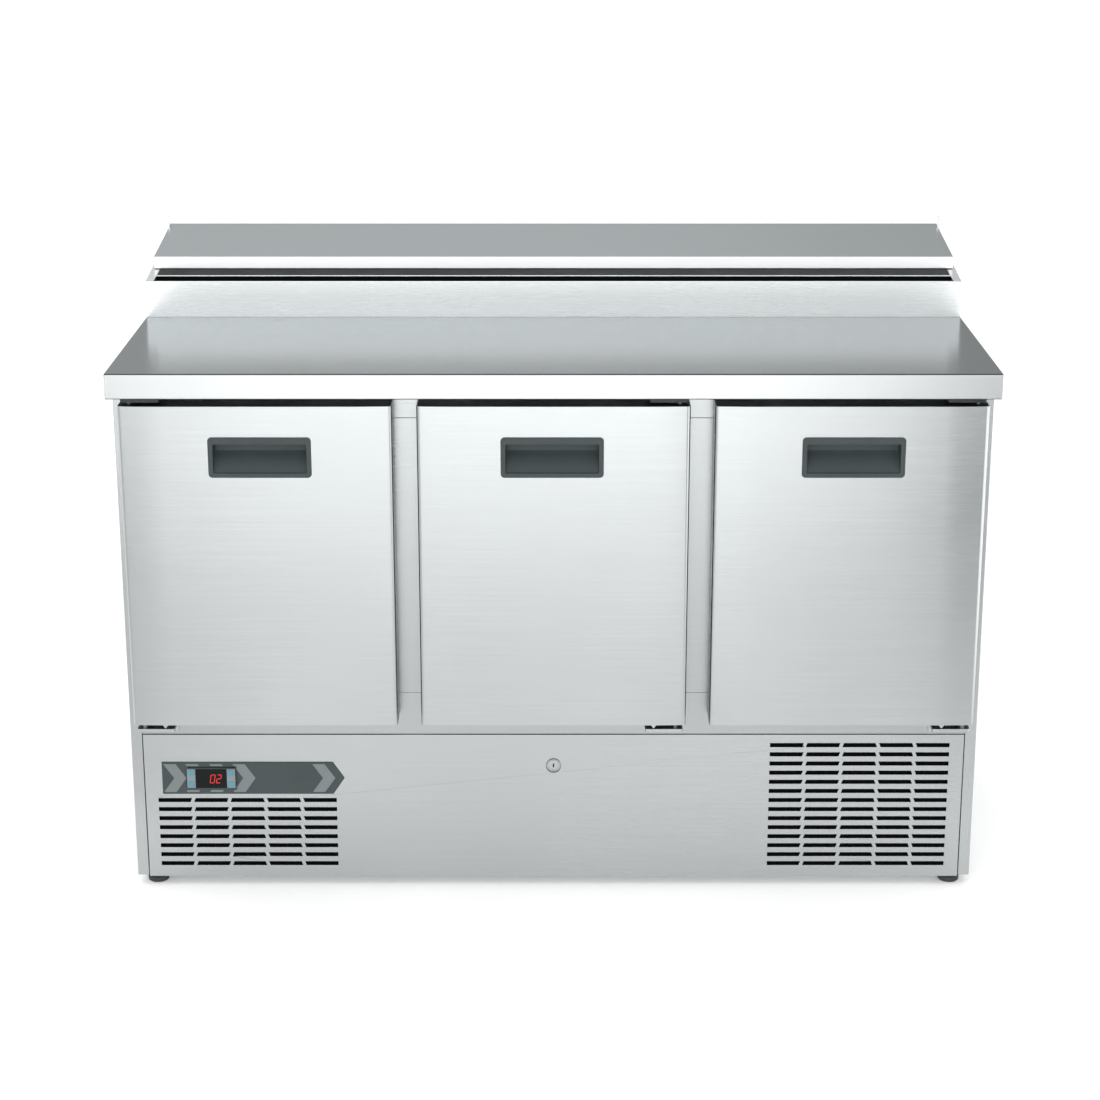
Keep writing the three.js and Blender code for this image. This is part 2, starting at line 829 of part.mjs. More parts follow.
// A sheet shroud, open to the coil, with a round outlet and the fan's motor on a bar behind it.
function fanShroud() {
  const { x, half, back, bottom, top } = condenserBox;
  const { wall, bore, z } = shroud;
  const y0 = back + GAP;
  const y1 = y0 + shroud.depth;
  const shell = cut(block([x - half, x + half], [y0, y1], [bottom, top]), [
    block([x - half + wall, x + half - wall], [y0 - 1, y1 - wall], [bottom + wall, top - wall]),
    rod("y", x, z, bore, y0, y1 + 1, 8),
  ]);
  const across = [x - strap.half, x + strap.half];
  const strapFront = y1 + strap.standOff;
  const bar = block(across, [strapFront, strapFront + strap.thick], [z - strap.reach, z + strap.reach]);
  const arms = [-1, 1].map((side) => {
    const end = z + side * (strap.reach - strap.armHalf);
    return block(across, [y1 - 1, strapFront + 1], [end - strap.armHalf, end + strap.armHalf]);
  });
  const drive = rod("y", x, z, motor.radius, strapFront - 1, strapFront - 1 + motor.length, 6);
  return join([shell, bar, ...arms, drive]);
}

function compressor() {
  const { sides, profile, plateHalf, plateThick, feet, box } = compressorShell;
  const [plateX, plateY] = plateHalf;
  const plate = block([-plateX, plateX], [-plateY, plateY], [-feet, plateThick - feet]);
  const terminals = block([box.from, box.to], [-box.half, box.half], [box.bottom, box.top]);
  return join([turned(profile, sides), plate, terminals]);
}

// ---- Lower front panel ----
// The slots of one grille. Each column leans away from the middle column, whose slots widen downwards.
function grilleSlots({ x, first, rows }) {
  const slots = [];
  const rise = grille.slotHeight / 2;
  for (let row = first; row < rows; row += 1) {
    const z = grille.top - row * grille.pitch;
    for (let column = 0; column < grille.columns; column += 1) {
      const left = x + column * grille.columnPitch;
      const right = left + grille.slotWidth;
      const leftLean = column === 0 ? 0 : grille.lean * (column <= 2 ? 1 : -1);
      const rightLean = column === grille.columns - 1 ? 0 : grille.lean * (column <= 1 ? 1 : -1);
      const shape = outline([
        [left - leftLean / 2, z - rise],
        [right - rightLean / 2, z - rise],
        [right + rightLean / 2, z + rise],
        [left + leftLean / 2, z + rise],
      ]);
      slots.push(sweep("y", shape, body.front - 1, body.front + panel.thick + 1));
    }
  }
  return slots;
}

function frontPanel() {
  const sheet = block(
    [-panel.half, panel.half],
    [body.front, body.front + panel.thick],
    [panel.bottom, panel.top],
  );
  const through = [body.front - 1, body.front + panel.thick + 1];
  const window = block(
    [control.x - control.bodyWidth / 2 - 1, control.x + control.bodyWidth / 2 + 1],
    through,
    [control.z - control.bodyHeight / 2 - 1, control.z + control.bodyHeight / 2 + 1],
  );
  const lockHole = rod("y", 0, lock.z, lock.hole, ...through, 8);
  return cut(sheet, [...grilleSlots(grille.left), ...grilleSlots(grille.right), window, lockHole]);
}

function badgePlate() {
  const { left, shoulder, tip, bottom, top, thick } = badge;
  const shape = outline([
    [left, bottom],
    [shoulder, bottom],
    [tip, (bottom + top) / 2],
    [shoulder, top],
    [left, top],
  ]);
  const plate = sweep("y", shape, body.front - GAP - thick, body.front - GAP);
  const window = block(
    [control.x - control.width / 2 - GAP, control.x + control.width / 2 + GAP],
    [body.front - 5, body.front],
    [control.z - control.height / 2 - GAP, control.z + control.height / 2 + GAP],
  );
  return cut(plate, [window]);
}

const padCentres = [-1, 1].flatMap((side) =>
  [1, -1].map((up) => ({
    name: (side < 0 ? "left" : "right") + (up > 0 ? "_upper" : "_lower"),
    x: control.x + side * button.x,
    z: control.z + up * button.z,
  })),
);

const controlFace = body.front - GAP - control.proud;

function controller() {
  const { x, z, width, height, round, depth, bodyWidth, bodyHeight, glass } = control;
  const face = controlFace;
  const bezel = sweep(
    "y",
    rounded(x - width / 2, x + width / 2, z - height / 2, z + height / 2, round),
    face,
    body.front - GAP,
    2,
  );
  const housing = block(
    [x - bodyWidth / 2, x + bodyWidth / 2],
    [body.front - 1, body.front + depth],
    [z - bodyHeight / 2, z + bodyHeight / 2],
  );
  const recess = block(
    [x - glass.half, x + glass.half],
    [face - 1, face + glass.recess],
    [z - glass.halfHeight, z + glass.halfHeight],
  );
  const half = button.size / 2 + GAP;
  const pockets = padCentres.map((pad) =>
    block([pad.x - half, pad.x + half], [face - 1, face + button.pocket], [pad.z - half, pad.z + half]),
  );
  return cut(join([bezel, housing]), [recess, ...pockets]);
}

function controlButton({ x, z }) {
  const half = button.size / 2;
  const shape = rounded(x - half, x + half, z - half, z + half, button.round);
  return sweep("y", shape, controlFace - button.proud, controlFace + button.back, 2);
}

// The lock sits just behind its hole in the panel and turns a cam that hooks behind the door frame's tab.
function panelLock() {
  const face = body.front + panel.thick + GAP;
  const flange = rod("y", 0, lock.z, lock.flange, face, face + lock.flangeThick, 8);
  const barrel = rod("y", 0, lock.z, lock.barrel, face + 1, lock.back, 6);
  const { cam, slot } = lock;
  const hook = block(
    [-cam.half, cam.half],
    [cam.front, cam.front + cam.thick],
    [lock.z - cam.drop, lock.z + cam.rise],
  );
  const keyway = block(
    [-slot.half, slot.half],
    [face - 1, face + slot.depth],
    [lock.z - slot.halfHeight, lock.z + slot.halfHeight],
  );
  return cut(join([flange, barrel, hook]), [keyway]);
}

// The cable gland in the back sheet: a nut and a domed cap with a bore.
function powerGland() {
  const sheetBack = backSheet.front + backSheet.thick;
  const nut = rod("y", 0, 0, gland.nut, sheetBack + GAP, gland.nutBack, 3);
  const cap = rod("y", 0, 0, gland.cap, gland.nutBack - 1, gland.capBack, 4);
  const bore = rod("y", 0, 0, gland.bore, gland.boreFront, gland.capBack + 2, 3);
  return cut(join([nut, cap]), [bore]);
}

// ---- Assembly ----
place("side_panel_left", sidePanel(-1), MATERIALS.steel, group);
place("side_panel_right", sidePanel(1), MATERIALS.steel, group);
place("back_panel", backPanel(), MATERIALS.steel, group);
place("base_tray", baseTray(), MATERIALS.zinc, group);
place(
  "deck",
  block(
    [-body.inner + GAP, body.inner - GAP],
    [frame.back + 2 * GAP, body.innerBack - GAP],
    [body.deckBottom + GAP, body.deckTop],
  ),
  MATERIALS.steel,
  group,
);
place("door_frame", doorFrame(), MATERIALS.steel, group);
place("worktop", worktopSlab(), MATERIALS.worktop, group);
place("collar", collarRing(), MATERIALS.steel, group);
place("collar_channel", collarChannel(), MATERIALS.blackPlastic, group);
place("pan_frame", panFrameSheet(), MATERIALS.worktop, group);

const rack = new THREE.Group();
rack.position.set(0, pan.y, slopeAt(pan.y));
rack.rotation.x = tilt;
group.add(rack);
const onePan = foodPan();
panCentres().forEach((x, i) => {
  place(`food_pan_${i + 1}`, onePan, MATERIALS.panSteel, rack).position.set(x, 0, GAP);
});

const lidGroup = new THREE.Group();
lidGroup.position.set(0, lid.axisY, lid.axisZ);
lidGroup.rotation.x = tilt;
group.add(lidGroup);
place("lid_shell", lidShell(), MATERIALS.worktop, lidGroup);
place("lid_liner", lidLiner(), MATERIALS.liner, lidGroup);

for (const { name, x, hinge, handle: shift } of DOORS) {
  const doorGroup = new THREE.Group();
  doorGroup.position.x = x;
  group.add(doorGroup);
  place(`door_${name}_skin`, doorSkin(shift, hinge), MATERIALS.steel, doorGroup);
  place(
    `door_${name}_liner`,
    doorLiner(shift, hinge * (door.half - door.hingeInset)),
    MATERIALS.liner,
    doorGroup,
  );
  place(`door_${name}_gasket`, doorGasket(), MATERIALS.gasket, doorGroup);
  place(`door_${name}_handle`, doorHandle(), MATERIALS.handlePlastic, doorGroup).position.x = shift;
  const lowerZ = door.bottom - bracket.drop - bracket.thick;
  place(`hinge_lower_${name}`, hingeBracket(hinge, lowerZ, 1), MATERIALS.steel, doorGroup);
  place(`hinge_upper_${name}`, hingeBracket(hinge, door.top + bracket.rise, -1), MATERIALS.enamel, doorGroup);
}

for (const { name, x } of SHELVES) {
  place(`shelf_${name}`, wireShelf(), MATERIALS.wire, group).position.x = x;
}

place("evaporator", evaporatorBlock(), MATERIALS.steel, group);
place("evaporator_fan", fanRotor(evaporatorRotor), MATERIALS.blackPlastic, group).position.set(
  0,
  evaporatorBox.front + evaporatorRotor.setBack,
  (evaporatorBox.bottom + evaporatorBox.top) / 2,
);
place("condenser", condenserBlock(), MATERIALS.coil, group);
place("condenser_shroud", fanShroud(), MATERIALS.zinc, group);
place("condenser_fan", fanRotor(condenserRotor), MATERIALS.blackPlastic, group).position.set(
  condenserBox.x,
  condenserBox.back + shroud.depth - condenserRotor.fromOutlet,
  shroud.z,
);
place("compressor", compressor(), MATERIALS.enamel, group).position.set(
  compressorShell.x,
  compressorShell.y,
  body.bottom + tray.thick + compressorShell.feet + GAP,
);

place("front_panel", frontPanel(), MATERIALS.steel, group);
place("badge_plate", badgePlate(), MATERIALS.badge, group);
place("controller", controller(), MATERIALS.control, group);
for (const pad of padCentres) {
  place(`button_${pad.name}`, controlButton(pad), MATERIALS.pad, group);
}
place("panel_lock", panelLock(), MATERIALS.zinc, group);

const levellingFoot = turned(foot.profile, foot.sides);
for (const [name, side, y] of FEET) {
  place(`foot_${name}`, levellingFoot, MATERIALS.rubber, group).position.set(side * foot.x, y, 0);
}
place("power_gland", powerGland(), MATERIALS.blackPlastic, group).position.set(gland.x, 0, gland.z);

export default group;
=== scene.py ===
"""Looks for the three-door sandwich prep table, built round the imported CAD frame. Metres, +Z up."""

import math

import bmesh
import bpy
from mathutils import Matrix, Vector


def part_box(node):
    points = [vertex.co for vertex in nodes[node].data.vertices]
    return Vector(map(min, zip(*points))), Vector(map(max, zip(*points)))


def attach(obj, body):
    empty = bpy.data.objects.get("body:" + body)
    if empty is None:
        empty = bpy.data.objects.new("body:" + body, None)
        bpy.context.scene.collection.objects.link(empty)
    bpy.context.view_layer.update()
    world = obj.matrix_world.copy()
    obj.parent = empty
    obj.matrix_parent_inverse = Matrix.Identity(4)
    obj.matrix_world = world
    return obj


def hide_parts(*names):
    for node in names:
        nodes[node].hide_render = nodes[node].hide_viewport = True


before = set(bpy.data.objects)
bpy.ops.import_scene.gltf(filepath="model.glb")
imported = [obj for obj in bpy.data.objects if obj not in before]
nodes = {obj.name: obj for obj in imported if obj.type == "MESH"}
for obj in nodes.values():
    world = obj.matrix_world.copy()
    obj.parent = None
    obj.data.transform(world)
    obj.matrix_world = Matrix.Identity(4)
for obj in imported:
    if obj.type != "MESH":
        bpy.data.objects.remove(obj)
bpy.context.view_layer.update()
MM = 0.001
DOORS = ("left", "middle", "right")
HINGE_SIDE = {"left": -1, "middle": 1, "right": 1}
HINGE_AXIS_Y = -0.3135
HINGE_INSET = 15.8 * MM  # from a door's upright edge to its hinge axis
SLOPE = 0.108  # rise of the lid and the pan frame for each unit of depth
PAN_TILT = 0.10758  # the angle of that slope, in radians
PANEL_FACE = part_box("front_panel")[0].y
BACK_SHEET_Y = 0.328
LOCK_HEIGHT = 0.211


# ---- Materials ----
class Nodes:
    """A node tree with short calls to add and join nodes."""

    def __init__(self, tree):
        self.tree = tree

    def add(self, kind, **settings):
        node = self.tree.nodes.new("ShaderNode" + kind)
        for key, value in settings.items():
            setattr(node, key, value)
        return node

    def link(self, a, b):
        self.tree.links.new(a, b)

    def noise(self, stretch, detail=3.0):
        """Noise in the object's own coordinates, with that many features to the metre along each axis."""
        coordinates = self.add("TexCoord")
        mapping = self.add("Mapping")
        mapping.inputs["Scale"].default_value = stretch
        texture = self.add("TexNoise")
        texture.inputs["Scale"].default_value = 1.0
        texture.inputs["Detail"].default_value = detail
        texture.inputs["Roughness"].default_value = 0.55
        self.link(coordinates.outputs["Object"], mapping.inputs["Vector"])
        self.link(mapping.outputs["Vector"], texture.inputs["Vector"])
        return texture.outputs["Fac"]

    def even_noise(self, scale, detail=3.0):
        """Noise with the same scale along each axis."""
        return self.noise((scale, scale, scale), detail)

    def calc(self, operation, *values):
        """An arithmetic node on sockets and plain numbers."""
        node = self.add("Math", operation=operation)
        for socket, value in zip(node.inputs, values):
            if isinstance(value, float):
                socket.default_value = value
            else:
                self.link(value, socket)
        return node.outputs[0]

    def blend(self, parts):
        """A weighted sum of values."""
        total = None
        for value, weight in parts:
            scaled = self.calc("MULTIPLY", value, weight)
            total = scaled if total is None else self.calc("ADD", total, scaled)
        return total

    def spread(self, value, low, high, start=0.3, end=0.7, smooth=False):
        """A value mapped from start..end to low..high, and held beyond it."""
        node = self.add("MapRange", interpolation_type="SMOOTHSTEP" if smooth else "LINEAR")
        node.inputs["From Min"].default_value = start
        node.inputs["From Max"].default_value = end
        node.inputs["To Min"].default_value = low
        node.inputs["To Max"].default_value = high
        self.link(value, node.inputs["Value"])
        return node.outputs["Result"]

    def ramp(self, value, stops):
        """A colour by a value, from stops of (position, colour)."""
        node = self.add("ValToRGB")
        elements = node.color_ramp.elements
        while len(elements) < len(stops):
            elements.new(0.5)
        for element, (position, colour) in zip(elements, stops):
            element.position = position
            element.color = (*colour, 1)
        self.link(value, node.inputs["Fac"])
        return node.outputs["Color"]

    def tint(self, value, dark, light, start=0.3, end=0.7):
        """A colour between two, by a value."""
        return self.ramp(value, [(start, dark), (end, light)])

    def over(self, below, factor, colour):
        """A plain colour laid over another by a factor."""
        mix = self.add("Mix", data_type="RGBA")
        self.link(factor, mix.inputs["Factor"])
        self.link(below, mix.inputs["A"])
        mix.inputs["B"].default_value = (*colour, 1)
        return mix.outputs["Result"]


class Surface(Nodes):
    """A new material's nodes, with its shader."""

    def __init__(self, name):
        self.material = bpy.data.materials.new(name)
        self.material.use_nodes = True
        super().__init__(self.material.node_tree)
        self.shader = self.tree.nodes["Principled BSDF"]

    def feed(self, socket, value):
        self.link(value, self.shader.inputs[socket])

    def set(self, **values):
        for key, value in values.items():
            self.shader.inputs[key.replace("_", " ")].default_value = value

    def bump(self, height, strength, distance):
        node = self.add("Bump")
        node.inputs["Strength"].default_value = strength
        node.inputs["Distance"].default_value = distance
        self.link(height, node.inputs["Height"])
        self.feed("Normal", node.outputs["Normal"])

    def worn(self, colour, edge):
        """The colour, rubbed to another along sharp edges in patches."""
        geometry = self.add("NewGeometry")
        edges = self.spread(geometry.outputs["Pointiness"], 0.0, 1.0, 0.52, 0.62)
        patches = self.spread(self.even_noise(60), 0.0, 0.6, 0.4, 0.6)
        return self.over(colour, self.calc("MULTIPLY", edges, patches), edge)


def shades(colour, contrast):
    """The colour made darker and lighter by a share."""
    return [tuple(min(1.0, c * (1 + change)) for c in colour) for change in (-contrast, contrast)]


def brushed(name, colour, rough, grain="x", contrast=0.05, aniso=0.55, relief=0.12, vary=0.035,
            front=None, front_rough=None, edge=None, sides=None, cut=None):
    """Brushed stainless steel: streaks along one axis in colour, roughness and relief, and slow clouding.

    Faces that look forward, the rounding above them, faces that look sideways, and an upright sheet's cut
    edges can have their own colours, all of them painted light and shade laid over the steel's own colour.
    """
    n = Surface(name)

    def streaks(across, along):
        """Noise drawn out along the grain."""
        return n.noise(tuple(along if axis == grain else across for axis in "xyz"), 2.0)

    wide, thin, cloud = streaks(400, 3.0), streaks(1500, 14.0), n.even_noise(2.5)
    mixed = n.blend([(wide, 0.45), (thin, 0.3), (cloud, 0.25)])
    base = n.tint(mixed, *shades(colour, contrast), 0.38, 0.62)
    facing = n.add("SeparateXYZ")
    n.link(n.add("TexCoord").outputs["Normal"], facing.inputs[0])
    forward = n.spread(facing.outputs["Y"], 0.0, 1.0, -0.8, -0.97)
    # Painted shade: faces that lean forward, such as the rounding above a forward face, take a dark colour.
    if edge:
        base = n.over(base, n.spread(facing.outputs["Y"], 0.0, 1.0, -0.03, -0.15), edge)
    # Painted light and shade: forward faces take a colour of their own, lighter or darker than the rest.
    if front:
        base = n.over(base, forward, front)
    # Painted shade: faces that look sideways take a dark colour.
    if sides:
        sideways = n.calc("ABSOLUTE", facing.outputs["X"])
        base = n.over(base, n.spread(sideways, 0.0, 1.0, 0.95, 0.995), sides)
    # Painted shade: the cut edges of an upright sheet take a near-black colour.
    if cut:
        flat = n.calc("ABSOLUTE", facing.outputs["Y"])
        base = n.over(base, n.spread(flat, 1.0, 0.0, 0.15, 0.6), cut)
    n.feed("Base Color", base)
    roughness = n.spread(n.blend([(thin, 0.5), (cloud, 0.5)]), rough - vary, rough + vary, 0.38, 0.62)
    if front_rough:
        roughness = n.blend([(roughness, 1.0), (forward, front_rough - rough)])
    n.feed("Roughness", roughness)
    n.set(Metallic=1.0, Anisotropic=aniso)
    n.feed("Tangent", n.add("Tangent", direction_type="RADIAL", axis=grain.upper()).outputs["Tangent"])
    n.bump(n.blend([(wide, 0.5), (thin, 0.5)]), relief, 0.06 * MM)
    return n.material


def sheet_metal(name, colour, rough, spangle=90.0, contrast=0.1):
    """Zinc-plated or mill-finish sheet: soft patches and a fine speckle, without a grain."""
    n = Surface(name)
    speckle = n.even_noise(1400, 2.0)
    mixed = n.blend([(n.even_noise(spangle, 1.0), 0.65), (speckle, 0.35)])
    n.feed("Base Color", n.tint(mixed, *shades(colour, contrast)))
    n.feed("Roughness", n.spread(mixed, rough - 0.08, rough + 0.08))
    n.set(Metallic=1.0)
    n.bump(speckle, 0.1, 0.05 * MM)
    return n.material


def moulded(name, colour, rough, grit=1600.0, relief=0.2, edge=None, coat=0.0, gloss=0.3):
    """Moulded plastic or rubber: a fine leathery surface, faint clouding, and lighter rubbed edges."""
    n = Surface(name)
    grains, cloud = n.even_noise(grit, 2.0), n.even_noise(14, 4.0)
    tone = n.tint(n.blend([(grains, 0.4), (cloud, 0.6)]), *shades(colour, 0.12))
    n.feed("Base Color", n.worn(tone, edge) if edge else tone)
    n.feed("Roughness", n.spread(cloud, rough - 0.06, rough + 0.06))
    n.set(Coat_Weight=coat, Coat_Roughness=0.08, Specular_IOR_Level=gloss)
    n.bump(grains, relief, 0.08 * MM)
    return n.material


def glowing(name, colour, strength):
    """A lit display colour, slightly uneven."""
    n = Surface(name)
    dimmer = tuple(c * 0.8 for c in colour)
    n.feed("Base Color", n.tint(n.even_noise(900, 1.0), dimmer, colour))
    n.set(Roughness=0.4, Emission_Color=(*colour, 1), Emission_Strength=strength)
    return n.material


def unlit(name, glow=0.0):
    """Black without any reflection, with a white glow of its own."""
    n = Surface(name)
    n.set(Base_Color=(0, 0, 0, 1), Specular_IOR_Level=0.0)
    n.set(Emission_Color=(1, 1, 1, 1), Emission_Strength=glow)
    return n


STEEL = (0.432, 0.45, 0.454)
PALE_EDGE = (0.06, 0.06, 0.06)
GREY_EDGE = (0.03, 0.03, 0.03)
M = {
    "steel": brushed("steel_front", STEEL, 0.24, contrast=0.03, aniso=0.6, relief=0.08),
    "steel_side": brushed("steel_side", STEEL, 0.25, grain="z", contrast=0.03, aniso=0.3, relief=0.08),
    # The panel's cut edges are painted near black: painted shade inside the grille slots.
    "panel": brushed("steel_panel", STEEL, 0.24, contrast=0.03, aniso=0.6, relief=0.06,
                     cut=(0.01, 0.012, 0.012)),
    # A darker copy of the same steel: painted shade.
    "mullion": brushed("steel_mullion", (0.385, 0.402, 0.406), 0.26, contrast=0.015, aniso=0.3,
                       relief=0.015, vary=0.015),
    # The doors' sideways faces are painted near black: painted shade for the gaps beside the frame.
    "door": brushed("steel_door", STEEL, 0.23, contrast=0.035, aniso=0.7, relief=0.06,
                    sides=(0.05, 0.055, 0.056)),
    # A darker copy of the steel, with a lighter forward lip and near-black roundings: painted light and
    # shade.
    "top": brushed("steel_worktop", (0.31, 0.34, 0.348), 0.2, contrast=0.02, aniso=0.1, relief=0.02,
                   vary=0.01, front=(0.47, 0.483, 0.486), front_rough=0.24, edge=(0.035, 0.04, 0.04)),
    # A slightly lighter copy of the steel, with a near-white forward lip: painted light and a painted
    # highlight.
    "lid": brushed("steel_lid", (0.44, 0.487, 0.499), 0.17, contrast=0.02, aniso=0.1, relief=0.01,
                   vary=0.01, front=(0.93, 0.94, 0.945), front_rough=0.42),
    # A much lighter copy of the steel, also used on the pan frame and the bead: painted light.
    "collar": brushed("steel_collar", (0.765, 0.788, 0.793), 0.27, contrast=0.015, aniso=0.1, relief=0.01,
                      vary=0.01),
    "pan": brushed("steel_pan", (0.64, 0.66, 0.665), 0.2, grain="z", contrast=0.03, aniso=0.2, relief=0.05),
    "zinc": sheet_metal("zinc_plate", (0.5, 0.52, 0.53), 0.42),
    "wire": sheet_metal("shelf_wire", (0.62, 0.64, 0.64), 0.28, spangle=160.0, contrast=0.06),
    "lockmetal": sheet_metal("lock_metal", (0.42, 0.44, 0.45), 0.3, spangle=400.0, contrast=0.05),
    # Near black: partly a black coil, partly painted shade so that the grille slots read dark.
    "coil": moulded("coil_black_and_shade", (0.01, 0.011, 0.011), 0.5, grit=900.0),
    "black": moulded("black_plastic", (0.007, 0.008, 0.008), 0.6, edge=GREY_EDGE, gloss=0.2),
    # Near black: partly a black liner, partly painted shade for the dark bands along the doors' tops and
    # under the lid's lip.
    "liner": moulded("liner_plastic", (0.006, 0.008, 0.008), 0.55, edge=GREY_EDGE, gloss=0.2),
    "handle": moulded("handle_plastic", (0.031, 0.041, 0.042), 0.45, edge=(0.05, 0.07, 0.072), gloss=0.25),
    "seal": moulded("seal_rubber", (0.014, 0.018, 0.018), 0.7, grit=900.0, gloss=0.25),
    "badge": moulded("badge_film", (0.037, 0.048, 0.049), 0.42, grit=2500.0, relief=0.08, gloss=0.25),
    "chevron": moulded("chevron_film", (0.135, 0.152, 0.157), 0.42, grit=2500.0, relief=0.08, gloss=0.25),
    "control": moulded("control_plastic", (0.16, 0.19, 0.2), 0.4, grit=2200.0, relief=0.08, gloss=0.25),
    "glass": moulded("window_plastic", (0.003, 0.005, 0.005), 0.3, grit=300.0, relief=0.02, gloss=0.15),
    "pad": moulded("pad_plastic", (0.085, 0.2, 0.25), 0.5, grit=2000.0, gloss=0.25),
    "paint": moulded("black_enamel", (0.008, 0.008, 0.009), 0.36, grit=700.0, edge=PALE_EDGE, coat=0.2),
    "rubber": moulded("foot_rubber", (0.026, 0.034, 0.036), 0.6, grit=700.0, edge=(0.06, 0.07, 0.07)),
    # Flat near black without sheen: painted shade behind the grilles and in the keyway, and on the collar
    # channel a black part darkened with painted shade.
    "dark": moulded("filter_felt", (0.0025, 0.003, 0.003), 0.9, gloss=0.05),
    "digit": glowing("digit_red", (0.62, 0.012, 0.014), 0.55),
}


# ---- Building pieces ----
def give(obj, material, body, replaced=()):
    """Gives the piece its finish, puts it under its body, and hides the CAD nodes it stands for."""
    if not obj.data.materials:
        obj.data.materials.append(M[material])
    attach(obj, body)
    if replaced:
        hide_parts(*replaced)
    return obj


def soften(obj, width, segments=2, angle=30):
    """Rounds the piece's sharp edges by a small width in metres."""
    bevel = obj.modifiers.new("edges", "BEVEL")
    bevel.width = width
    bevel.segments = segments
    bevel.limit_method = "ANGLE"
    bevel.angle_limit = math.radians(angle)
    bevel.use_clamp_overlap = False
    bevel.miter_outer = "MITER_ARC"
    return obj


def level(obj):
    """Keeps flat faces flat in the shading beside rounded ones."""
    weighted = obj.modifiers.new("level", "WEIGHTED_NORMAL")
    weighted.mode = "FACE_AREA"
    weighted.weight = 100
    weighted.keep_sharp = True
    return obj


def from_bmesh(name, bm, angle=30):
    """An object from a bmesh, smooth but for edges sharper than an angle in degrees."""
    bmesh.ops.recalc_face_normals(bm, faces=bm.faces)
    mesh = bpy.data.meshes.new(name)
    bm.to_mesh(mesh)
    bm.free()
    mesh.shade_smooth()
    mesh.set_sharp_from_angle(angle=math.radians(angle))
    obj = bpy.data.objects.new(name, mesh)
    bpy.context.scene.collection.objects.link(obj)
    return obj


def piece(name, bm, material, body="cabinet", replaced=(), bevel=0.0, segments=2, angle=30):
    """A finished piece from a bmesh."""
    obj = from_bmesh(name, bm, angle)
    if bevel:
        soften(obj, bevel, segments)
    level(obj)
    return give(obj, material, body, replaced)


def refined(node, material, body="cabinet", bevel=0.5 * MM, segments=2, merge=True):
    """A CAD node's own shape, with its edges rounded and, unless told not to, its facets merged."""
    weld, nearly_flat = 2e-6, math.radians(0.8)
    bm = bmesh.new()
    bm.from_mesh(nodes[node].data)
    bmesh.ops.remove_doubles(bm, verts=bm.verts, dist=weld)
    if merge:
        bmesh.ops.dissolve_limit(bm, angle_limit=nearly_flat, verts=bm.verts, edges=bm.edges)
    return piece(f"{node}_shown", bm, material, body, [node], bevel, segments)


def add_box(bm, low, high):
    made = bmesh.ops.create_cube(bm, size=1.0)["verts"]
    size = [b - a for a, b in zip(low, high)]
    middle = [(a + b) / 2 for a, b in zip(low, high)]
    bmesh.ops.scale(bm, vec=size, verts=made)
    bmesh.ops.translate(bm, vec=middle, verts=made)


def add_loft(bm, rings, close_start=True, wrap=False):
    """Quads between rings of equally many points, closed at the ends or joined from last to first."""
    rows = [[bm.verts.new(p) for p in ring] for ring in rings]
    count = len(rows[0])
    pairs = list(zip(rows, rows[1:])) + ([(rows[-1], rows[0])] if wrap else [])
    for a, b in pairs:
        for i in range(count):
            j = (i + 1) % count
            bm.faces.new((a[i], a[j], b[j], b[i]))
    if close_start and not wrap:
        bm.faces.new(list(reversed(rows[0])))
    if not wrap:
        bm.faces.new(rows[-1])


def rounded_ring(u0, u1, v0, v1, radius, steps):
    """The points of a rectangle with rounded corners, as (u, v)."""
    corners = [(u1 - radius, v0 + radius, -90), (u1 - radius, v1 - radius, 0),
               (u0 + radius, v1 - radius, 90), (u0 + radius, v0 + radius, 180)]
    points = []
    for u, v, start in corners:
        for i in range(steps + 1):
            a = math.radians(start + 90 * i / steps)
            points.append((u + radius * math.cos(a), v + radius * math.sin(a)))
    return points


def face_ring(edges, y, radius, inset=0.0, steps=4):
    """A rounded rectangle that faces forward at y, from its left, right, bottom and top before the inset."""
    left, right, bottom, top = edges
    ring = rounded_ring(left + inset, right - inset, bottom + inset, top - inset, radius, steps)
    return [(u, y, v) for u, v in ring]


def around(x, z, half_width, half_height):
    """The left, right, bottom and top edges of a rectangle centred on (x, z)."""
    return x - half_width, x + half_width, z - half_height, z + half_height


def circle(radius, sides):
    angles = [2 * math.pi * i / sides for i in range(sides)]
    return [(radius * math.cos(a), radius * math.sin(a)) for a in angles]


def add_turned(bm, profile, place, sides, axis="z"):
    """A turned body: profile is (radius, along) from one end of the Y or Z axis to the other."""
    on_axis = 1e-5
    rings = []
    for radius, along in profile:
        ring = []
        for u, v in circle(max(radius, on_axis), sides):
            point = {"z": (u, v, along), "y": (u, along, -v)}[axis]
            ring.append(Vector(point) + Vector(place))
        rings.append(ring)
    add_loft(bm, rings)


def add_tube(bm, path, radius, sides, closed=False):
    """A round bar along a path of points."""
    points = [Vector(p) for p in path]
    count = len(points)
    side = None
    rings = []
    for i, p in enumerate(points):
        before = points[i - 1] if closed or i else p
        after = points[(i + 1) % count] if closed or i < count - 1 else p
        along = (after - before).normalized()
        if side is None:
            side = along.orthogonal().normalized()
        side = (side - along * side.dot(along)).normalized()
        other = along.cross(side)
        rings.append([p + side * u + other * v for u, v in circle(radius, sides)])
    add_loft(bm, rings, wrap=closed)


def add_screw(bm, place, way, radius):
    """A low domed screw head with a round dimple, on a face that looks along +Y (way 1) or -Y (way -1)."""
    profile = [(1, 0), (1, 0.25), (0.8, 0.5), (0.42, 0.62), (0.34, 0.3), (0, 0.26)]
    add_turned(bm, [(radius * r, way * radius * out) for r, out in profile], place, 20, "y")


def centre_of(node):
    low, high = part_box(node)
    return (low + high) / 2


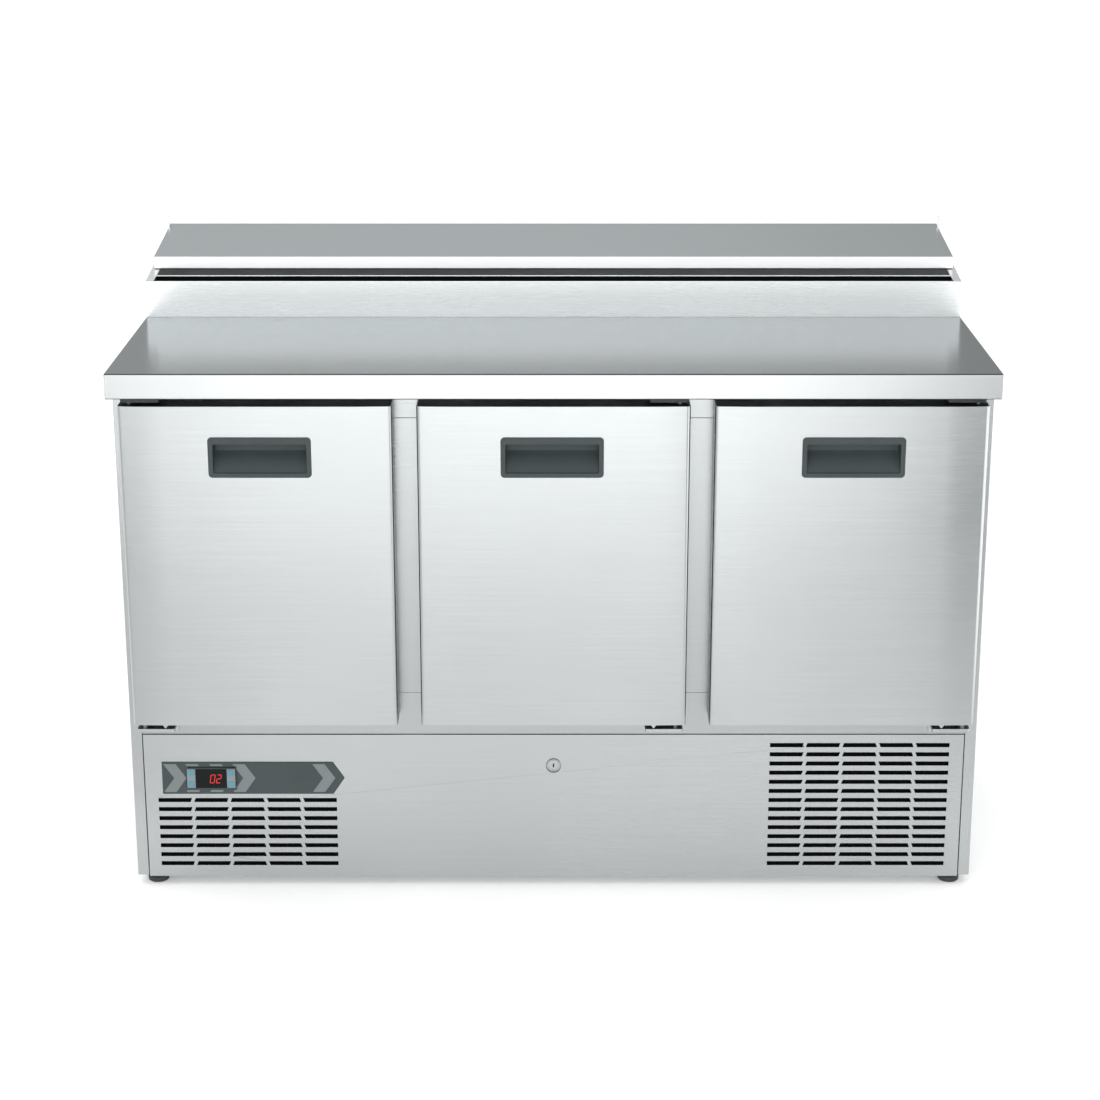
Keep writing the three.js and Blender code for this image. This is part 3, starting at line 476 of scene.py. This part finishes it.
# ---- Cabinet, worktop and collar ----
def cabinet():
    for side in ("left", "right"):
        refined(f"side_panel_{side}", "steel_side", bevel=0.8 * MM)
    refined("door_frame", "mullion", bevel=0.35 * MM, merge=False)
    refined("deck", "steel")
    refined("back_panel", "steel", bevel=0.4 * MM)
    refined("base_tray", "zinc", bevel=0.4 * MM)
    refined("front_panel", "panel", bevel=0.3 * MM, merge=False)
    refined("worktop", "top", bevel=0.6 * MM, segments=3)
    refined("collar", "collar", bevel=0.5 * MM)
    # The collar channel is flat near black: a black channel, darkened further with painted shade.
    refined("collar_channel", "dark", bevel=0.4 * MM)
    refined("pan_frame", "collar", bevel=0.4 * MM, merge=False)
    refined("lid_shell", "lid", body="lid", bevel=0.7 * MM, segments=3)
    refined("lid_liner", "liner", body="lid", bevel=1.0 * MM)


def pan_shade_strip():
    """A dark strip on the pan frame's front edge, just ahead of the lid: painted shade under the lid's lip,
    in the black rubber's colour.
    """
    low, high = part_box("pan_frame")
    lid_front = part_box("lid_shell")[0].y
    sunk, proud = 0.2 * MM, 0.5 * MM
    front_and_back = (low.y + 2.7 * MM, lid_front - 0.2 * MM)
    sheet = [(y, high.z - (high.y - y) * SLOPE) for y in front_and_back]
    section = [(y, z - sunk) for y, z in sheet] + [(y, z + proud) for y, z in reversed(sheet)]
    bm = bmesh.new()
    add_loft(bm, [[(x, y, z) for y, z in section] for x in (low.x + MM, high.x - MM)])
    piece("pan_frame_shade_strip", bm, "seal", bevel=0.2 * MM)


def collar_bead():
    """A fine bead of sealant in the seam between the worktop and the collar."""
    low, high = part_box("collar")
    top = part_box("worktop")[1].z
    section = [(-0.9, -0.5), (0.5, -0.5), (0.5, 0.35), (-0.2, 0.35), (-0.9, 0.05)]
    bm = bmesh.new()
    add_loft(bm, [[(x, low.y + back * MM, top + up * MM) for back, up in section] for x in (low.x, high.x)])
    piece("collar_bead", bm, "collar")


def grille_shade_sheets():
    """Pleated near-black sheets behind the two grilles: painted shade, so the slots read as dark as an unlit
    compartment.
    """
    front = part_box("front_panel")[1].y + 1.5 * MM
    bottom, pleats, pleat_depth, back = 0.024, 38, 4 * MM, front + 7 * MM
    for name, left, right, top in (("left", -0.648, -0.34, 0.154), ("right", 0.345, 0.651, 0.256)):
        step = (right - left) / pleats
        profile = [(left + step * i, front + (i % 2) * pleat_depth) for i in range(pleats + 1)]
        profile += [(right, back), (left, back)]
        bm = bmesh.new()
        add_loft(bm, [[(x, y, z) for x, y in profile] for z in (bottom, top)])
        piece(f"filter_{name}", bm, "dark")


def back_screws():
    """Screws round the edge of the sheet behind the machine compartment."""
    columns = (-0.64, -0.43, -0.215, 0.0, 0.215, 0.43, 0.64)
    bottom, middle, top = 0.05, 0.15, 0.255
    places = [(x, z) for x in columns for z in (top, bottom)]
    places += [(columns[0], middle), (columns[-1], middle)]
    bm = bmesh.new()
    for x, z in places:
        add_screw(bm, (x, BACK_SHEET_Y, z), 1, 4 * MM)
    piece("back_screws", bm, "zinc")


def feet():
    """Turned feet with a flared base and a locking collar."""
    profile = [(0, 0), (14.6, 0), (16.2, 0.5), (17, 1.8), (17, 7.4), (16.5, 8.4), (14.6, 9.8), (12.8, 10.5),
               (12.1, 11.4), (12.1, 12.6), (11.5, 13), (11.5, 14.6), (12.1, 15), (12.1, 17.5), (0, 17.5)]
    for corner in ("front_left", "front_right", "rear_left", "rear_right"):
        middle = centre_of(f"foot_{corner}")
        bm = bmesh.new()
        add_turned(bm, [(r * MM, z * MM) for r, z in profile], (middle.x, middle.y, 0), 40)
        piece(f"foot_{corner}_shown", bm, "rubber", replaced=[f"foot_{corner}"], angle=40)


# ---- Pans ----
def pans():
    """Drawn steel pans: a flat rolled rim, rounded corners, tapering walls and a soft bottom."""
    # half width, half depth, corner radius and height: under the rim, round it, and down to the floor inside
    inside = [(80.7, 87.5, 13, 0.0), (80.7, 87.5, 13, 0.9), (80.2, 87, 12.5, 1.3), (76.8, 83.3, 12, 1.45),
              (75.2, 81.7, 11.5, 1.1), (74.4, 80.9, 11.2, 0.0), (73.9, 80.4, 11, -3), (69.6, 75.9, 11, -92),
              (67.4, 73.7, 11, -97), (63, 69.3, 9, -99), (58, 64.3, 7, -99.2)]
    wall, floor, deep = 0.9, 0.8, -95
    outside = []
    for x, y, r, z in inside[:4:-1]:
        outside.append((x + wall, y + wall, r + wall, z - floor if z < deep else z))
    turn = Matrix.Rotation(PAN_TILT, 3, "X")
    for number in range(1, 9):
        node = f"food_pan_{number}"
        low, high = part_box(node)
        points = [v.co for v in nodes[node].data.vertices]
        rear = max(points, key=lambda p: p.y)
        front = min(points, key=lambda p: p.y)
        middle = Vector(((low.x + high.x) / 2, (rear.y + front.y) / 2, (rear.z + front.z) / 2))
        rings = []
        for half_x, half_y, radius, z in outside + inside:
            ring = rounded_ring(-half_x, half_x, -half_y, half_y, radius, 6)
            rings.append([turn @ (Vector((u, v, z)) * MM) + middle for u, v in ring])
        bm = bmesh.new()
        add_loft(bm, rings)
        piece(f"{node}_shown", bm, "pan", replaced=[node], angle=50)


# ---- Doors ----
def door_skin(door):
    """A folded sheet with rounded upright edges, a slightly crowned front and a hole for the pull."""
    node = f"door_{door}_skin"
    low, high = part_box(node)
    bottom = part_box(f"door_{door}_liner")[0].z - 0.4 * MM
    pull_low, pull_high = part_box(f"door_{door}_handle")
    rim = 3.5 * MM  # how far the pull's rim lies over the sheet
    radius, steps, crown, crown_steps, fall = 6 * MM, 8, 60 * MM, 10, 1.6 * MM
    half = [(0, high.y)]
    for i in range(steps):
        a = math.pi / 2 * i / steps
        half.append((radius * (1 - math.cos(a)), low.y + fall + radius * (1 - math.sin(a))))
    for i in range(crown_steps + 1):
        share = i / crown_steps
        half.append((radius + crown * share, low.y + fall * (1 - share) ** 2))
    outline = [(low.x + u, y) for u, y in half]
    hole = len(outline)
    outline += [(pull_low.x + rim, low.y), (pull_high.x - rim, low.y)]
    outline += [(high.x - u, y) for u, y in reversed(half)]
    heights = (bottom, pull_low.z + rim, pull_high.z - rim, high.z)
    bm = bmesh.new()
    rows = [[bm.verts.new((x, y, z)) for x, y in outline] for z in heights]
    for band, (a, b) in enumerate(zip(rows, rows[1:])):
        for i in range(len(outline) - 1):
            if not (band == 1 and i == hole):
                bm.faces.new((a[i], a[i + 1], b[i + 1], b[i]))
    obj = from_bmesh(f"{node}_shown", bm)
    sheet = obj.modifiers.new("sheet", "SOLIDIFY")
    sheet.thickness = 1.5 * MM
    sheet.offset = -1
    soften(obj, 0.35 * MM, 2, 50)
    level(obj)
    give(obj, "door", f"door_{door}", [node])


def door_tab(door):
    """A small pointed tab below the door's skin, near its hinge."""
    low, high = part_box(f"door_{door}_skin")
    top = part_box(f"door_{door}_liner")[0].z + 0.1 * MM
    x = (low.x + high.x) / 2 + HINGE_SIDE[door] * ((high.x - low.x) / 2 - 51 * MM)
    half_width = 4.5 * MM
    shape = [(x, low.z), (x + half_width, top), (x - half_width, top)]
    bm = bmesh.new()
    add_loft(bm, [[(u, y, z) for u, z in shape] for y in (low.y + 0.1 * MM, low.y + 1.5 * MM)])
    piece(f"door_{door}_tab", bm, "door", f"door_{door}", bevel=0.3 * MM)


def door_pull(door):
    """A moulded recessed pull: a soft-edged frame and a pocket whose back slopes up from the lower edge."""
    node = f"door_{door}_handle"
    low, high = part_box(node)
    face, sheet, deep = low.y, low.y + 1.7 * MM, high.y - 2 * MM
    sections = [  # depth, then the inset of the ends, bottom and top, and the corner radius
        (sheet, 0, 0, 0, 6), (sheet - 0.9 * MM, 0, 0, 0, 6), (face + 0.25 * MM, 0.35, 0.35, 0.35, 5.7),
        (face, 1.1, 1.1, 1.1, 5), (face, 6.6, 6.2, 10.4, 2.6), (face + 0.3 * MM, 7.3, 6.9, 10.9, 2.2),
        (face + 1.6 * MM, 7.6, 7.3, 11.1, 2), (face + 3.2 * MM, 7.7, 8.2, 11.0, 2),
        (face + 4.4 * MM, 7.8, 9.8, 7.0, 2), (face + 10 * MM, 8.0, 17.2, 6.6, 2),
        (deep - 4 * MM, 8.4, 32, 6.6, 2), (deep - 0.8 * MM, 9.0, 37, 7.2, 2), (deep, 10.5, 39, 9, 1.5)]
    rings = []
    for y, ends, below, above, radius in sections:
        edges = (low.x + ends * MM, high.x - ends * MM, low.z + below * MM, high.z - above * MM)
        rings.append(face_ring(edges, y, radius * MM, steps=6))
    bm = bmesh.new()
    add_loft(bm, rings, close_start=False)
    piece(f"{node}_shown", bm, "handle", f"door_{door}", [node], angle=38)


def door_seal(door):
    """A bellows gasket with mitred corners, round the back of the door."""
    node = f"door_{door}_gasket"
    low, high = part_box(node)
    width, depth = 13.5, (high.y - low.y) / MM
    profile = [(0, 0), (width, 0), (width, 1.1), (width - 1.7, 1.8), (width - 0.3, 2.7),
               (width - 0.3, depth - 0.5), (width - 1.2, depth), (1.2, depth), (0.3, depth - 0.5), (0.3, 2.7),
               (1.7, 1.8), (0, 1.1)]
    corners = ((low.x, low.z, 1, 1), (high.x, low.z, -1, 1), (high.x, high.z, -1, -1), (low.x, high.z, 1, -1))
    rings = []
    for x, z, inward_x, inward_z in corners:
        rings.append([(x + inward_x * t * MM, low.y + y * MM, z + inward_z * t * MM) for t, y in profile])
    bm = bmesh.new()
    add_loft(bm, rings, wrap=True)
    piece(f"{node}_shown", bm, "seal", f"door_{door}", [node])


def hinge(door, place):
    """A bracket plate with rounded corners and a flange, two screws in the lower one, and a turned pin."""
    node = f"hinge_{place}_{door}"
    low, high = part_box(node)
    lower = place == "lower"
    if lower:
        plate = low.z + 14 * MM, low.z + 19 * MM
        flange = low.z, low.z + 16 * MM
        pin_start, pin_end = plate[0] + 1 * MM, high.z
    else:
        plate = high.z - 9 * MM, high.z - 4 * MM
        flange = high.z - 6 * MM, high.z
        pin_start, pin_end = low.z, plate[0] + 1 * MM
    flange_face = high.y - 3 * MM
    bm = bmesh.new()
    ring = rounded_ring(low.x, high.x, low.y, high.y, 4 * MM, 4)
    add_loft(bm, [[(x, y, z) for x, y in ring] for z in plate])
    add_box(bm, (low.x, flange_face, flange[0]), (high.x, high.y, flange[1]))
    if lower:
        for offset in (14 * MM, 46 * MM):
            add_screw(bm, (low.x + offset, flange_face, low.z + 6.5 * MM), -1, 3 * MM)
    # The upper brackets are near black: painted shade, so they sink into the dark band under the worktop.
    material, slot = ("steel", "brushed_panel") if lower else ("paint", "black_enamel")
    piece(f"{node}_shown", bm, material, "cabinet", [node], bevel=0.3 * MM)
    skin_low, skin_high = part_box(f"door_{door}_skin")
    axis_x = skin_high.x - HINGE_INSET if HINGE_SIDE[door] > 0 else skin_low.x + HINGE_INSET
    radius, chamfer = 4 * MM, 0.8 * MM
    profile = [(0, pin_start), (radius * 0.8, pin_start), (radius, pin_start + chamfer),
               (radius, pin_end - chamfer), (radius * 0.8, pin_end), (0, pin_end)]
    bm = bmesh.new()
    add_turned(bm, profile, (axis_x, HINGE_AXIS_Y, 0), 28)
    piece(f"{node}_pin", bm, "steel", "cabinet", angle=40)


def shelf(name):
    """A welded wire shelf: a round frame, three cross bars and close wires."""
    node = f"shelf_{name}"
    low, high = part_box(node)
    bar, wire, corner, spaces = 2.4 * MM, 1.3 * MM, 12 * MM, 17
    z = low.z + bar
    left, right, front, back = low.x + bar, high.x - bar, low.y + bar, high.y - bar
    bm = bmesh.new()
    frame_path = [(x, y, z) for x, y in rounded_ring(left, right, front, back, corner, 4)]
    add_tube(bm, frame_path, bar, 10, closed=True)
    bar_inset, bar_z = 90 * MM, z - 0.6 * MM
    for y in (low.y + bar_inset, (low.y + high.y) / 2, high.y - bar_inset):
        add_tube(bm, [(left, y, bar_z), (right, y, bar_z)], bar * 0.75, 8)
    top = high.z - wire
    for i in range(1, spaces):
        x = low.x + (high.x - low.x) * i / spaces
        add_tube(bm, [(x, front, top), (x, back, top)], wire, 8)
    piece(f"{node}_shown", bm, "wire", "cabinet", [node], angle=50)


def doors():
    for door in DOORS:
        door_skin(door)
        door_tab(door)
        door_pull(door)
        door_seal(door)
        refined(f"door_{door}_liner", "liner", body=f"door_{door}", bevel=0.8 * MM)
        hinge(door, "lower")
        hinge(door, "upper")
        shelf(door)


# ---- Lower panel: badge, controller, keys and lock ----
def chevrons():
    """Pale chevrons on the badge, pointing right, cut off at the controller."""
    # where each tail starts, and whether the controller hides the chevron's middle
    starts = ((-0.6325, False), (-0.5965, True), (-0.558, True), (-0.5205, False), (-0.391, False))
    low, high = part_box("badge_plate")
    hole_low, hole_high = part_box("controller")
    z0, z1 = low.z + 3.5 * MM, high.z - 3.5 * MM
    middle, half = (z0 + z1) / 2, (z1 - z0) / 2
    reach, width, clear, thinnest, strips = 17 * MM, 20 * MM, 21 * MM, 0.3 * MM, 14
    hole_left, hole_right = hole_low.x - 1 * MM, hole_high.x + 1 * MM
    depths = (low.y + 0.3 * MM, low.y - 0.16 * MM)
    bm = bmesh.new()
    for start, hidden in starts:
        for strip in range(strips):
            a, b = (z0 + (z1 - z0) * k / strips for k in (strip, strip + 1))
            u0, v0 = (start + reach * (1 - abs(z - middle) / half) for z in (a, b))
            u1, v1 = u0 + width, v0 + width
            if abs((a + b) / 2 - middle) < clear and u1 > hole_left and u0 < hole_right:
                if hidden:
                    continue
                if u0 < hole_left:
                    u1, v1 = min(u1, hole_left), min(v1, hole_left)
                else:
                    u0, v0 = max(u0, hole_right), max(v0, hole_right)
            if u1 - u0 >= thinnest:
                add_loft(bm, [[(u0, y, a), (u1, y, a), (v1, y, b), (v0, y, b)] for y in depths])
    piece("badge_chevrons", bm, "chevron")


SEGMENTS = {"0": "abcdef", "2": "abged"}


def digit(bm, character, x, z, width, height, y):
    """One seven-segment digit, leaning right, centred on (x, z)."""
    w, h, t, slant = width / 2, height / 2, 0.16 * width, 0.16
    bars = {"a": ((-w, h), (w, h)), "g": ((-w, 0), (w, 0)), "d": ((-w, -h), (w, -h)), "f": ((-w, 0), (-w, h)),
            "b": ((w, 0), (w, h)), "e": ((-w, -h), (-w, 0)), "c": ((w, -h), (w, 0))}
    for segment in SEGMENTS[character]:
        start, end = (Vector(p) for p in bars[segment])
        along = (end - start).normalized()
        across = Vector((-along.y, along.x)) * t / 2
        a, b = start + along * t * 0.65, end - along * t * 0.65
        points = [a - along * t / 2, a - across, b - across, b + along * t / 2, b + across, a + across]
        flat = [(x + p.x + slant * p.y, z + p.y) for p in points]
        add_loft(bm, [[(u, d, v) for u, v in flat] for d in (y + 0.2 * MM, y)])


def controller():
    """The thermostat: a frame, a dark window with two digits, and a pale column of keys at each side."""
    low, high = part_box("controller")
    x, z = (low.x + high.x) / 2, (low.z + high.z) / 2
    face, behind = low.y, low.y + 0.3 * MM
    outer = (low.x, high.x, low.z, high.z)
    bm = bmesh.new()
    sections = ((PANEL_FACE - 0.3 * MM, 2.2, 0), (face + 1 * MM, 2.2, 0), (behind, 2, 0.35), (face, 1.6, 1))
    add_loft(bm, [face_ring(outer, y, radius * MM, inset * MM) for y, radius, inset in sections])
    piece("controller_frame", bm, "badge", replaced=["controller"], angle=40)
    bm = bmesh.new()
    for side in (-1, 1):
        column = around(x + side * 32.3 * MM, z, 6.6 * MM, 16.2 * MM)
        add_loft(bm, [face_ring(column, y, 1 * MM, steps=3) for y in (behind, face - 0.12 * MM)])
    piece("controller_columns", bm, "control", angle=40)
    window = around(x, z, 25 * MM, 16.5 * MM)
    bm = bmesh.new()
    add_loft(bm, [face_ring(window, y, 1 * MM, inset, 3)
                  for y, inset in ((behind, 0), (face - 0.3 * MM, 0), (face - 0.5 * MM, 0.5 * MM))])
    piece("controller_window", bm, "glass", angle=40)
    bm = bmesh.new()
    for character, offset in (("0", 2.5 * MM), ("2", 12.5 * MM)):
        digit(bm, character, x + offset, z - 0.4 * MM, 6.6 * MM, 14 * MM, face - 0.7 * MM)
    piece("controller_digits", bm, "digit")


def keys():
    """Four small pads with rounded corners and soft front edges."""
    for corner in ("left_upper", "left_lower", "right_upper", "right_lower"):
        node = f"button_{corner}"
        low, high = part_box(node)
        edges = (low.x, high.x, low.z, high.z)
        sections = ((high.y, 0), (low.y + 0.5 * MM, 0), (low.y + 0.15 * MM, 0.25 * MM), (low.y, 0.9 * MM))
        bm = bmesh.new()
        add_loft(bm, [face_ring(edges, y, 1.5 * MM, inset) for y, inset in sections])
        piece(f"{node}_shown", bm, "pad", f"key_{corner}", [node], angle=40)


def lock():
    """A round cylinder lock behind its hole: a rounded ring, a groove, a plug with a keyway, and a cam."""
    low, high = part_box("panel_lock")
    x, z, face = (low.x + high.x) / 2, LOCK_HEIGHT, PANEL_FACE
    flange_back, plug = low.y + 2.5 * MM, face + 0.1 * MM
    cam_front, cam_back = -0.2585, -0.256
    profile = [(0, high.y), (9, high.y), (9, flange_back), (14.5, flange_back), (14.5, low.y), (11.2, low.y),
               (11.1, face + 0.6 * MM), (10.7, plug), (10.0, face), (9.4, face + 0.3 * MM),
               (9.1, face + 1.4 * MM), (8.2, face + 1.4 * MM), (8, face + 0.4 * MM), (7.4, plug),
               (2.0, plug)]
    bm = bmesh.new()
    add_turned(bm, [(r * MM, y) for r, y in profile], (x, 0, z), 48, "y")
    add_box(bm, (x - 7 * MM, cam_front, z - 8 * MM), (x + 7 * MM, cam_back, z + 41 * MM))
    piece("panel_lock_shown", bm, "lockmetal", "lock", ["panel_lock"], angle=40)
    # The keyway is a flat near-black slip on the plug's face: painted shade for the slot's depth.
    slit = around(x, z, 1.1 * MM, 3.4 * MM)
    bm = bmesh.new()
    add_loft(bm, [face_ring(slit, y, 0.5 * MM, steps=3) for y in (face + 0.3 * MM, face + 0.05 * MM)])
    piece("panel_lock_keyway", bm, "dark", "lock")


# ---- Machine compartment and air cooler ----
def rotor(node, body, hub, radius, depth):
    """A fan with twisted, cambered blades on a domed hub, turning about Y."""
    blades, steps, corners, half_thickness, camber, sweep = 5, 6, 12, 0.9 * MM, 0.06, 0.25
    middle = centre_of(node)
    root = hub * 0.85
    dome = [(0, -depth / 2), (hub * 0.6, -depth / 2), (hub * 0.92, -depth / 2 + 1.5 * MM), (hub, -depth / 3),
            (hub, depth / 2), (0, depth / 2)]
    bm = bmesh.new()
    add_turned(bm, dome, middle, 32, "y")
    for blade in range(blades):
        turn = 2 * math.pi * blade / blades
        rings = []
        for step in range(steps + 1):
            share = step / steps
            r = root + (radius - root) * share
            chord = radius * (0.4 + 0.12 * math.sin(math.pi * share))
            twist = math.radians(38 - 14 * share)
            ring = []
            for k in range(corners):
                a = 2 * math.pi * k / corners
                u, v = chord / 2 * math.cos(a), half_thickness * math.sin(a)
                v += chord * camber * (1 - (2 * u / chord) ** 2)
                along = u * math.cos(twist) - v * math.sin(twist)
                lift = u * math.sin(twist) + v * math.cos(twist)
                angle = turn + sweep * share + along / r
                ring.append(middle + Vector((r * math.cos(angle), lift, r * math.sin(angle))))
            rings.append(ring)
        add_loft(bm, rings)
    piece(f"{node}_shown", bm, "black", body, [node], angle=50)


def machinery():
    refined("evaporator", "steel", bevel=0.6 * MM)
    refined("condenser", "coil", bevel=0.3 * MM)
    refined("condenser_shroud", "zinc", bevel=0.4 * MM)
    refined("compressor", "paint", bevel=1.0 * MM)
    refined("power_gland", "black", bevel=0.4 * MM)
    rotor("condenser_fan", "condenser_rotor", 24 * MM, 84 * MM, 20 * MM)
    rotor("evaporator_fan", "evaporator_rotor", 16 * MM, 50 * MM, 18 * MM)


cabinet()
pan_shade_strip()
collar_bead()
grille_shade_sheets()
back_screws()
feet()
pans()
doors()
refined("badge_plate", "badge", bevel=0.3 * MM)
chevrons()
controller()
keys()
lock()
machinery()


# ---- Floor, light and camera ----
REFLECTIONS_ONLY = ("camera", "shadow", "diffuse")


def stage_sheet(name, points, faces, material, hidden_from=()):
    """A piece of the stage, hidden from some kinds of ray."""
    mesh = bpy.data.meshes.new(name)
    mesh.from_pydata(points, [], faces)
    mesh.materials.append(material)
    sheet = bpy.data.objects.new(name, mesh)
    bpy.context.scene.collection.objects.link(sheet)
    for ray in hidden_from:
        setattr(sheet, "visible_" + ray, False)
    return sheet


def floor():
    reach = 40.0
    corners = [(-reach, -reach, 0), (reach, -reach, 0), (reach, reach, 0), (-reach, reach, 0)]
    n = Surface("pale_floor")
    n.feed("Base Color", n.tint(n.even_noise(3), (0.9, 0.9, 0.9), (0.92, 0.92, 0.92)))
    n.set(Roughness=0.85, Specular_IOR_Level=0.1, Emission_Color=(1, 1, 1, 1), Emission_Strength=0.12)
    stage_sheet("floor", corners, [(0, 1, 2, 3)], n.material).location.z = -0.5 * MM


def backdrop():
    """A pale wall far round the stage, for the camera alone."""
    sides, radius, bottom, top = 64, 38.0, -0.5, 60.0
    points = [(u, v, z) for z in (bottom, top) for u, v in circle(radius, sides)]
    faces = [(i, (i + 1) % sides, sides + (i + 1) % sides, sides + i) for i in range(sides)]
    pale = unlit("pale_backdrop", glow=1.0).material
    stage_sheet("backdrop", points, faces, pale, ("glossy", "diffuse", "shadow"))


def world_light():
    """Sky by direction: bright low in front and overhead, greyer low behind, and brighter on the left."""
    world = bpy.data.worlds.new("studio")
    bpy.context.scene.world = world
    world.use_nodes = True
    n = Nodes(world.node_tree)
    way = n.add("SeparateXYZ")
    n.link(n.add("TexCoord").outputs["Generated"], way.inputs[0])

    def greys(stops):
        """A grey by the height of the direction, from 0 at the horizon to 1 overhead."""
        return n.ramp(way.outputs["Z"], [(height, (grey, grey, grey)) for height, grey in stops])

    back = greys([(0.0, 0.12), (0.28, 0.15), (0.37, 0.2), (0.5, 0.25), (0.78, 0.38), (1.0, 0.6)])
    front = greys([(0.0, 1.0), (0.07, 0.95), (0.14, 0.42), (0.3, 0.3), (0.6, 0.36), (0.8, 0.45), (1.0, 0.6)])
    mix = n.add("Mix", data_type="RGBA")
    n.link(n.spread(way.outputs["Y"], 0.0, 1.0, -0.35, 0.35, smooth=True), mix.inputs["Factor"])
    n.link(front, mix.inputs["A"])
    n.link(back, mix.inputs["B"])
    background = n.tree.nodes["Background"]
    n.link(n.spread(way.outputs["X"], 3.4, 2.65, 0.0, 0.22, smooth=True), background.inputs["Strength"])
    n.link(mix.outputs["Result"], background.inputs["Color"])


def softbox(name, place, aim, size, power):
    """A soft area light that shows neither to the camera nor in reflections."""
    data = bpy.data.lights.new(name, "AREA")
    data.shape = "RECTANGLE"
    data.size, data.size_y = size
    data.energy = power
    light = bpy.data.objects.new(name, data)
    light.location = place
    light.rotation_euler = (Vector(aim) - Vector(place)).to_track_quat("-Z", "Y").to_euler()
    light.visible_camera = False
    light.visible_glossy = False
    bpy.context.scene.collection.objects.link(light)


def veil():
    """A dark veil low over the floor, seen only in reflections: at both sides, and faintly in the middle."""
    half_width, far, near, height = 8, -7, -0.6, 0.01
    n = unlit("veil")
    place = n.add("SeparateXYZ")
    n.link(n.add("NewGeometry").outputs["Position"], place.inputs[0])
    across, away = place.outputs["X"], place.outputs["Y"]

    def smooth(value, start, end, low, high):
        """From low to high as the value goes from start to end."""
        return n.spread(value, low, high, start, end, smooth=True)

    fan = n.calc("DIVIDE", across, n.calc("SUBTRACT", 0.91, n.calc("MULTIPLY", away, 0.27)))
    edge = n.calc("ADD", smooth(fan, 0.28, 0.5, 0.0, 0.22), smooth(fan, 0.5, 0.7, 0.0, 0.6))
    reach = n.calc("MULTIPLY", smooth(away, -3.5, -0.8, 1.1, 0.15), smooth(away, -4.3, -3.65, 0.58, 1.0))
    right = n.calc("MULTIPLY", edge, reach)
    left = n.calc("MULTIPLY", smooth(fan, -0.85, -0.4, 1.0, 0.0), smooth(away, -3.2, -0.8, 0.38, 0.24))
    middle = n.calc("SUBTRACT", smooth(away, -3.3, -2.4, 0.0, 0.1), smooth(away, -1.2, -0.7, 0.0, 0.1))
    n.feed("Alpha", n.calc("ADD", middle, n.calc("ADD", right, left)))
    corners = [(-half_width, far, height), (half_width, far, height), (half_width, near, height),
               (-half_width, near, height)]
    stage_sheet("veil", corners, [(0, 1, 2, 3)], n.material, REFLECTIONS_ONLY)


def side_card():
    """A pale upright card at the right that only shows in reflections."""
    x, front, back, height = 1.7, -2.2, 2.0, 0.7
    corners = [(x, front, 0), (x, back, 0), (x, back, height), (x, front, height)]
    stage_sheet("pale_card", corners, [(0, 1, 2, 3)], unlit("pale_card", glow=2.2).material, REFLECTIONS_ONLY)


def camera():
    """The camera, straight in front and looking down at the table, with a slight sideways lens shift."""
    place, degrees_from_down, shift = (0.0, -4.006, 1.7335), 72.73, -0.00318182
    data = bpy.data.cameras.new("camera")
    data.sensor_width = 36.0
    data.lens = 80.87
    data.shift_x = shift
    data.clip_end = 200.0
    view = bpy.data.objects.new("camera", data)
    view.location = place
    view.rotation_euler = (math.radians(degrees_from_down), 0.0, 0.0)
    bpy.context.scene.collection.objects.link(view)
    bpy.context.scene.camera = view


floor()
backdrop()
world_light()
softbox("near_softbox", (0.0, -4.6, 1.7), (0.0, -4.4, 0.0), (5.0, 1.3), 110.0)
softbox("far_softbox", (0.0, -9.0, 2.6), (0.0, -8.5, 0.0), (12.0, 4.0), 400.0)
veil()
side_card()
camera()
bpy.context.scene.view_settings.view_transform = "Standard"
